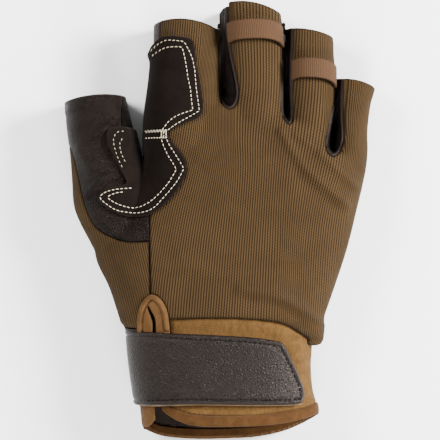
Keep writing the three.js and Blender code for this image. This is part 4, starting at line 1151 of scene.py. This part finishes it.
patchRows = [smoothLine(sketch(row), steps=4) for row in [
    [(149.6, 50.4), (156.6, 44.6), (165.5, 40.4), (174.4, 40.6), (183.4, 42.1), (187.8, 48.5), (192.3, 58.7),
     (194.8, 71.4), (196.1, 86.7), (198, 100.8), (199.3, 111)],
    [(199.3, 111), (191, 116), (182, 121), (174.4, 125.6), (167.4, 130.7)],
    [(150.8, 55.5), (157.9, 51), (165.5, 47.8), (174.4, 46.9), (181.5, 47.8), (184, 54.8), (185.9, 63.8),
     (187.8, 76.5), (190.4, 89.3), (191.7, 102), (192.9, 110.3)],
    [(192.9, 110.3), (184.6, 112.9), (175.7, 116.7), (168.7, 121.8), (164.2, 127.6), (161.9, 130.7)],
    [(166.6, 139), (170, 146), (174.5, 152.9), (179.5, 161), (184, 169)],
    [(184, 169), (180, 177), (174.5, 185.3), (163, 198.7), (153.5, 208.2), (142, 212.4), (130.6, 212.6),
     (117.3, 210.1), (107.7, 204.4), (101, 198), (104.8, 193), (115.3, 189.6), (132.5, 188)],
    [(161.5, 139), (164.5, 147.5), (168.8, 156.7), (173, 163), (176.6, 169.6)],
    [(176.6, 169.6), (172.5, 177), (166.9, 185.3), (155.4, 197.7), (144, 205.4), (132.5, 207.8),
     (119.2, 204.4), (108.7, 197.7), (115.3, 193.4), (124, 192)],
]]
sew("patchStitches", "crotchPatch", patchRows, creamThread, length=1.3, gap=0.5, wide=0.33)
faintRows = [smoothLine(sketch(row), steps=4) for row in [
    [(124.9, 130.8), (117.3, 132.4), (113.8, 139.5), (115.3, 149), (119.2, 160.5), (123, 168)],
    [(123, 137.6), (120, 143.3), (121.4, 152.9), (125.8, 162.4)],
]]
sew("thumbStitches", "crotchPatch", faintRows, creamThread, length=1.1, gap=0.9, wide=0.2,
    lift=0.0)
tackRows = [sketch(row) for row in [
    [(143.8, 130.7), (167.4, 130.2)], [(144.6, 137.8), (167.4, 137.8)], [(145, 131.9), (166, 131.4)],
    [(161.7, 131), (161.5, 138.4)], [(166.3, 130.6), (166.3, 138.4)], [(163.8, 131), (163.8, 138)],
]]
sew("tackStitches", "crotchPatch", tackRows, creamThread, length=1.1, gap=0.12, wide=0.48)

strapSeam = smoothLine(strapEdge)
along = np.gradient(strapSeam, axis=0)
away = np.column_stack([along[:, 1], -along[:, 0]])
strapRow = strapSeam + away / np.linalg.norm(away, axis=1)[:, None] * strapLook["seam"] * mm
sew("strapStitches", "wristStrap", [strapRow[3:-3]], darkThread, length=1.4, gap=0.7,
    wide=0.6)

bindingRows = [sketch(row) for row in [
    [(169, 404.5), (176, 407.5), (185, 410.5), (200, 412.5), (220, 413.8), (240, 414.4), (260, 414.2),
     (280, 412.8), (300, 410.2), (319, 405)],
]]
sew("cuffStitches", "cuffBand", bindingRows, tanThread, length=1.5, gap=0.6, wide=0.42)
hemRows = {
    "indexHem": [(163, 37.5), (170, 35), (180, 33.3), (192, 33.8), (204, 37), (216, 42.5)],
    "littleHem": [(346, 94.5), (352, 95), (360, 97), (371, 100)],
    "middleHem": [(232, 14.5), (245, 13.8), (258, 15.5), (270, 18), (281, 22)],
    "ringHem": [(297, 44), (307, 43.6), (320, 46), (332, 50)],
    "thumbHem": [(67, 111), (74, 108.4), (84, 106.8), (96, 106.2), (108, 107), (119, 109)],
}
for name, row in hemRows.items():
    onThumb = name == "thumbHem"
    sew(name + "Stitches", "thumbPanel" if onThumb else "backPanel", [smoothLine(sketch(row))],
        darkThread if onThumb else oliveThread, length=1.1,
        gap=0.8, wide=0.26, lift=0.02, skew=0.55)

print("studio")
# Lights: place, size and power; the camera looks straight down from where the lens shows the width given.
studio = {"right": ((0.82, 0.25, 0.5), 0.4, 52), "left": ((-0.65, 0.4, 0.7), 0.5, 22),
          "front": ((0.1, -0.9, 0.55), 0.6, 22), "sky": 0.4, "sensor": 36, "lens": 180, "seen": 0.191,
          "lookAt": (0, -0.0004, 0.024)}
floorMesh = bpy.data.meshes.new("floor")
bm = bmesh.new()
bmesh.ops.create_grid(bm, x_segments=1, y_segments=1, size=3)
bm.to_mesh(floorMesh)
bm.free()
floorMesh.materials.append(plainMaterial("pale floor", (0.95, 0.95, 0.95), 0.9))
floor = bpy.data.objects.new("floor", floorMesh)
bpy.context.collection.objects.link(floor)


def softLight(name, place, size, power):
    data = bpy.data.lights.new(name, "AREA")
    data.shape, data.size, data.energy = "DISK", size, power
    lamp = bpy.data.objects.new(name, data)
    bpy.context.collection.objects.link(lamp)
    lamp.location = place
    lamp.rotation_euler = (-Vector(place)).to_track_quat("-Z", "Y").to_euler()


for name in ("right", "left", "front"):
    softLight(name, *studio[name])
world = bpy.data.worlds.new("studio")
world.use_nodes = True
world.node_tree.nodes["Background"].inputs["Color"].default_value = (1, 1, 1, 1)
world.node_tree.nodes["Background"].inputs["Strength"].default_value = studio["sky"]
bpy.context.scene.world = world

camera = bpy.data.objects.new("camera", bpy.data.cameras.new("camera"))
bpy.context.collection.objects.link(camera)
camera.data.sensor_width, camera.data.lens = studio["sensor"], studio["lens"]
rise = studio["seen"] / studio["sensor"] * studio["lens"]
camera.location = Vector(studio["lookAt"]) + Vector((0, 0, rise))
camera.data.clip_start, camera.data.clip_end = 0.01, 20
bpy.context.scene.camera = camera
